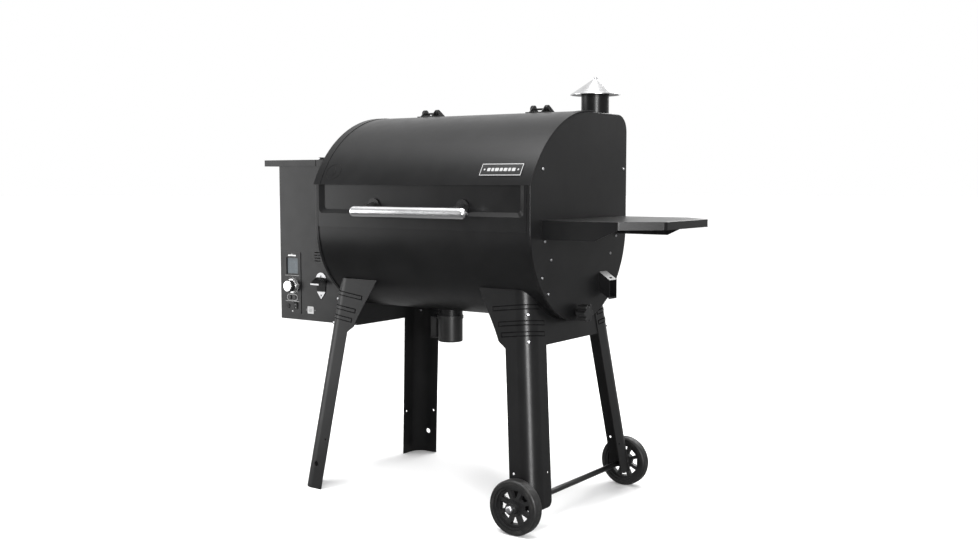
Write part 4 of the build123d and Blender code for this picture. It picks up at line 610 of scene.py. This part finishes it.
def make_display():
    """A black bezel round the sunk display, and its unlit segments."""
    low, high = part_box("display_screen")
    centre = Vector(((low.x + high.x) / 2, low.y, (low.z + high.z) / 2))
    place = on_plane(centre, (1, 0, 0), (0, 0, 1))
    width, height = high.x - low.x, high.z - low.z
    bezel = bmesh.new()
    band(bezel, box_outline(width, height, 1 * MM),
         box_outline(width - 5 * MM, height - 5 * MM, 1 * MM), place, -0.2 * MM, 0.8 * MM)
    new_piece("display_bezel", bezel, SLOTS["black_plastic"], "base")
    segments = bmesh.new()
    digit_w, digit_h, stroke, pitch = 9 * MM, 17 * MM, 1.6 * MM, 13 * MM
    film = (-0.05 * MM, 0.08 * MM)  # the segments' back and front
    for u in (-pitch, 0, pitch):
        for v in (-digit_h / 2, 0, digit_h / 2):
            bar = moved(box_outline(digit_w - 1.5 * stroke, stroke, cut=0.4), u, v)
            plate(segments, bar, place, *film)
        for side in (-1, 1):
            for v in (-digit_h / 4, digit_h / 4):
                bar = moved(box_outline(stroke, digit_h / 2 - 1.5 * stroke, cut=0.4),
                            u + side * digit_w / 2, v)
                plate(segments, bar, place, *film)
    plate(segments, moved(box_outline(width - 12 * MM, 0.8 * MM), 0, 17 * MM), place, *film)
    new_piece("display_segments", segments, SEGMENT_INK, "base")


def make_knob_detail():
    """Fluted grip round the control knob, and the pointer on its face."""
    face_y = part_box("control_knob")[0].y
    centre = middle("control_knob")
    place = on_plane(Vector((centre.x, face_y, centre.z)), (1, 0, 0), (0, 0, 1))
    flutes, steps = 24, 6
    grip_r, flute_depth, grip_back, grip_front = 19.1 * MM, 0.45 * MM, -18 * MM, -4.5 * MM
    outer = []
    for i in range(flutes * steps):
        radius = grip_r + flute_depth * cos(2 * pi * i / steps)
        outer.append((radius * cos(2 * pi * i / (flutes * steps)),
                      radius * sin(2 * pi * i / (flutes * steps))))
    inner = oval(34 * MM, 34 * MM, flutes * steps)
    grip = bmesh.new()
    band(grip, outer, inner, place, grip_back, grip_front)
    new_piece("knob_grip", grip, SLOTS["black_plastic"], "control_knob")
    face = bmesh.new()
    band(face, oval(30 * MM, 30 * MM), oval(29 * MM, 29 * MM), place, -0.2 * MM, 0.1 * MM)
    plate(face, moved(box_outline(1.8 * MM, 8 * MM), 0, 10 * MM), place, -0.2 * MM, 0.25 * MM)
    new_piece("knob_pointer", face, DARK_INK, "control_knob")


def make_rocker_marks():
    """The plain on and off marks on the rocker switch."""
    centre = middle("rocker_switch")
    place = on_front("rocker_switch", centre.x, centre.z)
    shape = bmesh.new()
    plate(shape, moved(box_outline(1 * MM, 4 * MM), 0, 5 * MM), place, -0.1 * MM, 0.15 * MM)
    band(shape, moved(oval(4.4 * MM, 4.4 * MM, 24), 0, -5 * MM),
         moved(oval(3 * MM, 3 * MM, 24), 0, -5 * MM), place, -0.1 * MM, 0.15 * MM)
    new_piece("rocker_marks", shape, INK, "rocker_switch")


def make_label_print():
    """Rows of plain bars on the small label plate."""
    low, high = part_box("label_plate")
    centre = (low + high) / 2
    face_y = high.y - 1 * MM
    place = on_plane(Vector((centre.x, face_y, centre.z)), (1, 0, 0), (0, 0, 1))
    shape = bmesh.new()
    rows = ((7, (8, 5, 6)), (3, (5, 9, 4)), (-1, (7, 4, 7)), (-5, (4, 6, 5)))
    for up, widths in rows:
        word_bars(shape, place, [0.9 * w * MM for w in widths], 1.5 * MM, 0.9 * MM, (0, up * MM))
    new_piece("label_print", shape, DARK_INK, "base")


def islands(node):
    """The points of each of a node's separate solids, in a fixed order."""
    shape = bmesh.new()
    shape.from_mesh(NODES[node].data)
    bmesh.ops.remove_doubles(shape, verts=shape.verts, dist=0.001 * MM)
    left = set(shape.verts)
    groups = []
    while left:
        group, edge = set(), [left.pop()]
        while edge:
            vert = edge.pop()
            group.add(vert)
            for link in vert.link_edges:
                other = link.other_vert(vert)
                if other in left:
                    left.remove(other)
                    edge.append(other)
        groups.append([v.co.copy() for v in group])
    shape.free()
    return sorted(groups, key=lambda points: tuple(round(c, 5) for c in points_middle(points)))


def points_middle(points):
    """The middle of the box round some points."""
    low = Vector([min(p[i] for p in points) for i in range(3)])
    high = Vector([max(p[i] for p in points) for i in range(3)])
    return (low + high) / 2


def head_face(points, out):
    """The middle of the outermost face of a screw that points along out."""
    reach = max(p.dot(out) for p in points)
    top = [p for p in points if p.dot(out) > reach - 0.05 * MM]
    return points_middle(top)


LEG_TILT = 0.248  # how far a leg bolt's axis rises for each unit it runs along x and along y


def make_painted_socket_shade():
    """A flat dark hexagon on every screw and leg bolt, painted shade that stands in for its socket's
    recess.
    """
    shape = bmesh.new()
    for node, radius in (("body_screws", 1.5 * MM), ("leg_bolts", 2.4 * MM)):
        whole = middle(node)
        for points in islands(node):
            away = points_middle(points) - whole
            if node == "body_screws":
                out = Vector((1 if away.x > 0 else -1, 0, 0))
            else:
                out = Vector((1 if away.x > 0 else -1, 1 if away.y > 0 else -1, LEG_TILT)).normalized()
            across = Vector((0, 0, 1)).cross(out).normalized()
            place = on_plane(head_face(points, out), across, out.cross(across))
            # painted shade: a flat dark hexagon where the socket's recess would be
            hexagon = oval(2 * radius, 2 * radius, 6)
            plate(shape, hexagon, place, -0.1 * MM, 0.04 * MM)
    new_piece("drive_sockets", shape, DARK_INK, "base")


RING_SIZES = ((68.6 * MM, 1.1 * MM), (63.5 * MM, 0.6 * MM))  # radius and half width


def make_tyre_rings(name):
    """Two moulded rings on each side of a tyre."""
    low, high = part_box(f"tyre_{name}")
    centre = (low + high) / 2
    shape = bmesh.new()
    for side in (-1, 1):
        face_y = high.y if side > 0 else low.y
        place = on_plane(Vector((centre.x, face_y, centre.z)), (-side, 0, 0), (0, 0, 1))
        for radius, half in RING_SIZES:
            outer, inner = 2 * (radius + half), 2 * (radius - half)
            band(shape, oval(outer, outer, 96), oval(inner, inner, 96), place, -1.6 * MM, 0.5 * MM)
    new_piece(f"tyre_rings_{name}", shape, SLOTS["tyre_rubber"], f"wheel_{name}")


UPRIGHT, LEVEL = (0, 1), (1, 0)
# for each node: the line its two screws are on, their width, and their distance from its ends
SMALL_SCREWS = {"control_panel": (UPRIGHT, 6.0 * MM, 8 * MM),
                "bottle_opener": (UPRIGHT, 6.0 * MM, 12 * MM),
                "label_plate": (LEVEL, 3.6 * MM, 2.2 * MM)}
SCREW_RISE = 0.22  # a head's height for its width


def make_small_screws():
    """Pan heads on the control panel, the bottle opener and the label plate."""
    for node, (line, size, inset) in SMALL_SCREWS.items():
        shape = bmesh.new()
        low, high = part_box(node)
        centre, half = (low + high) / 2, (high - low) / 2
        for side in (1, -1):
            u, v = side * line[0] * (half.x - inset), side * line[1] * (half.z - inset)
            place = on_front(node, centre.x + u, centre.z + v)
            plate(shape, oval(size, size, 24), place, -0.2 * MM, SCREW_RISE * size, 0.8)
        slot = "zinc" if node == "control_panel" else "black_hardware"
        finish = INK if slot == "zinc" else SLOTS[slot]
        new_piece(f"screws_{node}", shape, finish, "base")


def make_detail():
    """Every piece of fine detail."""
    make_badge()
    make_emblem()
    make_panel_print()
    make_display()
    make_knob_detail()
    make_rocker_marks()
    make_label_print()
    make_painted_socket_shade()
    make_small_screws()
    for name in ("front", "rear"):
        make_tyre_rings(name)


make_detail()


# ---------------------------------------------------------------- studio
CAMERA_AT = Vector((1.9970, -2.6835, 0.930))
CAMERA_LENS = 41.17  # for a sensor 36 mm wide
CAMERA_RIGHT = Vector((0.817438, 0.576017, 0.0))
CAMERA_UP = Vector((-0.049262, 0.069909, 0.996336))
SURROUND_ABOVE = 0.9  # brightness of the surround over and under the horizon
SURROUND_BELOW = 0.3
FRONT_SHARE = 0.48  # how much of it is left towards the front, and towards the right
RIGHT_SHARE = 0.6
OVERHEAD = 2.0  # the sun's strength; the softboxes' powers are in watts
LEFT_POWER = 47
FRONT_POWER = 210
TOP_POWER = 125
BACK_POWER = 45


def make_floor():
    """A plain pale floor that reaches past the view, level with the feet."""
    mesh = bpy.data.meshes.new("floor")
    shape = bmesh.new()
    bmesh.ops.create_circle(shape, cap_ends=True, segments=96, radius=60)
    shape.to_mesh(mesh)
    shape.free()
    floor = bpy.data.objects.new("floor", mesh)
    bpy.context.scene.collection.objects.link(floor)
    floor.location = (0, 0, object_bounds()[0][2])
    finish = Finish("floor_white", Roughness=0.9, Specular_IOR_Level=0.1)
    finish.colour(finish.blend(finish.noise(0.6, 2), (0.9, 0.9, 0.9), (0.92, 0.92, 0.92)))
    floor.data.materials.append(finish.material)
    floor.visible_glossy = False


def area_light(name, at, towards, width, height, power):
    """A softbox at one point, turned towards another."""
    data = bpy.data.lights.new(name, "AREA")
    data.shape = "RECTANGLE"
    data.size = width
    data.size_y = height
    data.energy = power
    light = bpy.data.objects.new(name, data)
    bpy.context.scene.collection.objects.link(light)
    light.visible_camera = False
    light.location = at
    light.rotation_euler = (Vector(towards) - Vector(at)).to_track_quat("-Z", "Y").to_euler()
    return light


def make_world():
    """A white backdrop for the eye, and a dimmer surround for light and reflections."""
    world = bpy.data.worlds.new("studio")
    bpy.context.scene.world = world
    world.use_nodes = True
    nodes, links = world.node_tree.nodes, world.node_tree.links
    surround = nodes["Background"]
    where = nodes.new("ShaderNodeTexCoord")
    split = nodes.new("ShaderNodeSeparateXYZ")
    links.new(where.outputs["Generated"], split.inputs[0])
    strength = None
    for axis, *span in (("Z", -0.3, 0.05, SURROUND_BELOW, SURROUND_ABOVE),
                        ("Y", -0.6, 0.2, FRONT_SHARE, 1.0), ("X", 0.0, 0.5, 1.0, RIGHT_SHARE)):
        share = nodes.new("ShaderNodeMapRange")
        share.interpolation_type = "SMOOTHSTEP"
        set_span(share, span)
        links.new(split.outputs[axis], share.inputs["Value"])
        if strength is None:
            strength = share.outputs["Result"]
        else:
            product = nodes.new("ShaderNodeMath")
            product.operation = "MULTIPLY"
            links.new(strength, product.inputs[0])
            links.new(share.outputs["Result"], product.inputs[1])
            strength = product.outputs[0]
    links.new(strength, surround.inputs["Strength"])
    backdrop = nodes.new("ShaderNodeBackground")
    backdrop.inputs["Strength"].default_value = 1.0
    for shade in (surround, backdrop):
        shade.inputs["Color"].default_value = (1, 1, 1, 1)
    ray = nodes.new("ShaderNodeLightPath")
    choose = nodes.new("ShaderNodeMixShader")
    links.new(ray.outputs["Is Camera Ray"], choose.inputs[0])
    links.new(surround.outputs[0], choose.inputs[1])
    links.new(backdrop.outputs[0], choose.inputs[2])
    links.new(choose.outputs[0], nodes["World Output"].inputs["Surface"])


def make_lights():
    """The surround, a soft overhead sun and four softboxes."""
    make_world()
    sun = bpy.data.lights.new("overhead", "SUN")
    sun.energy = OVERHEAD
    sun.angle = radians(60)
    key = bpy.data.objects.new("overhead", sun)
    bpy.context.scene.collection.objects.link(key)
    key.rotation_euler = Vector((0.12, 0.1, -1.0)).to_track_quat("-Z", "Y").to_euler()
    area_light("left_softbox", (-2.8, -1.8, 0.95), (-0.3, -0.1, 0.75), 1.7, 2.0, LEFT_POWER)
    area_light("front_strip", (3.2, -2.9, 1.3), (0.2, 0.0, 0.7), 0.8, 1.8, FRONT_POWER)
    area_light("top_softbox", (0.5, -0.6, 3.4), (0.1, 0.0, 0.9), 3.0, 1.8, TOP_POWER)
    area_light("back_card", (0.3, 2.6, 2.2), (0.2, 0.0, 1.1), 1.3, 1.6, BACK_POWER)


def make_camera():
    """The camera, at three quarters from the right."""
    back = CAMERA_RIGHT.cross(CAMERA_UP)
    camera = bpy.data.cameras.new("camera")
    camera.sensor_width = 36
    camera.lens = CAMERA_LENS
    camera.clip_end = 200
    eye = bpy.data.objects.new("camera", camera)
    bpy.context.scene.collection.objects.link(eye)
    turn = Matrix((CAMERA_RIGHT, CAMERA_UP, back)).transposed()
    eye.matrix_world = Matrix.Translation(CAMERA_AT) @ turn.to_4x4()
    bpy.context.scene.camera = eye
    bpy.context.scene.view_settings.view_transform = "Standard"


make_floor()
make_lights()
make_camera()

bpy.context.view_layer.update()
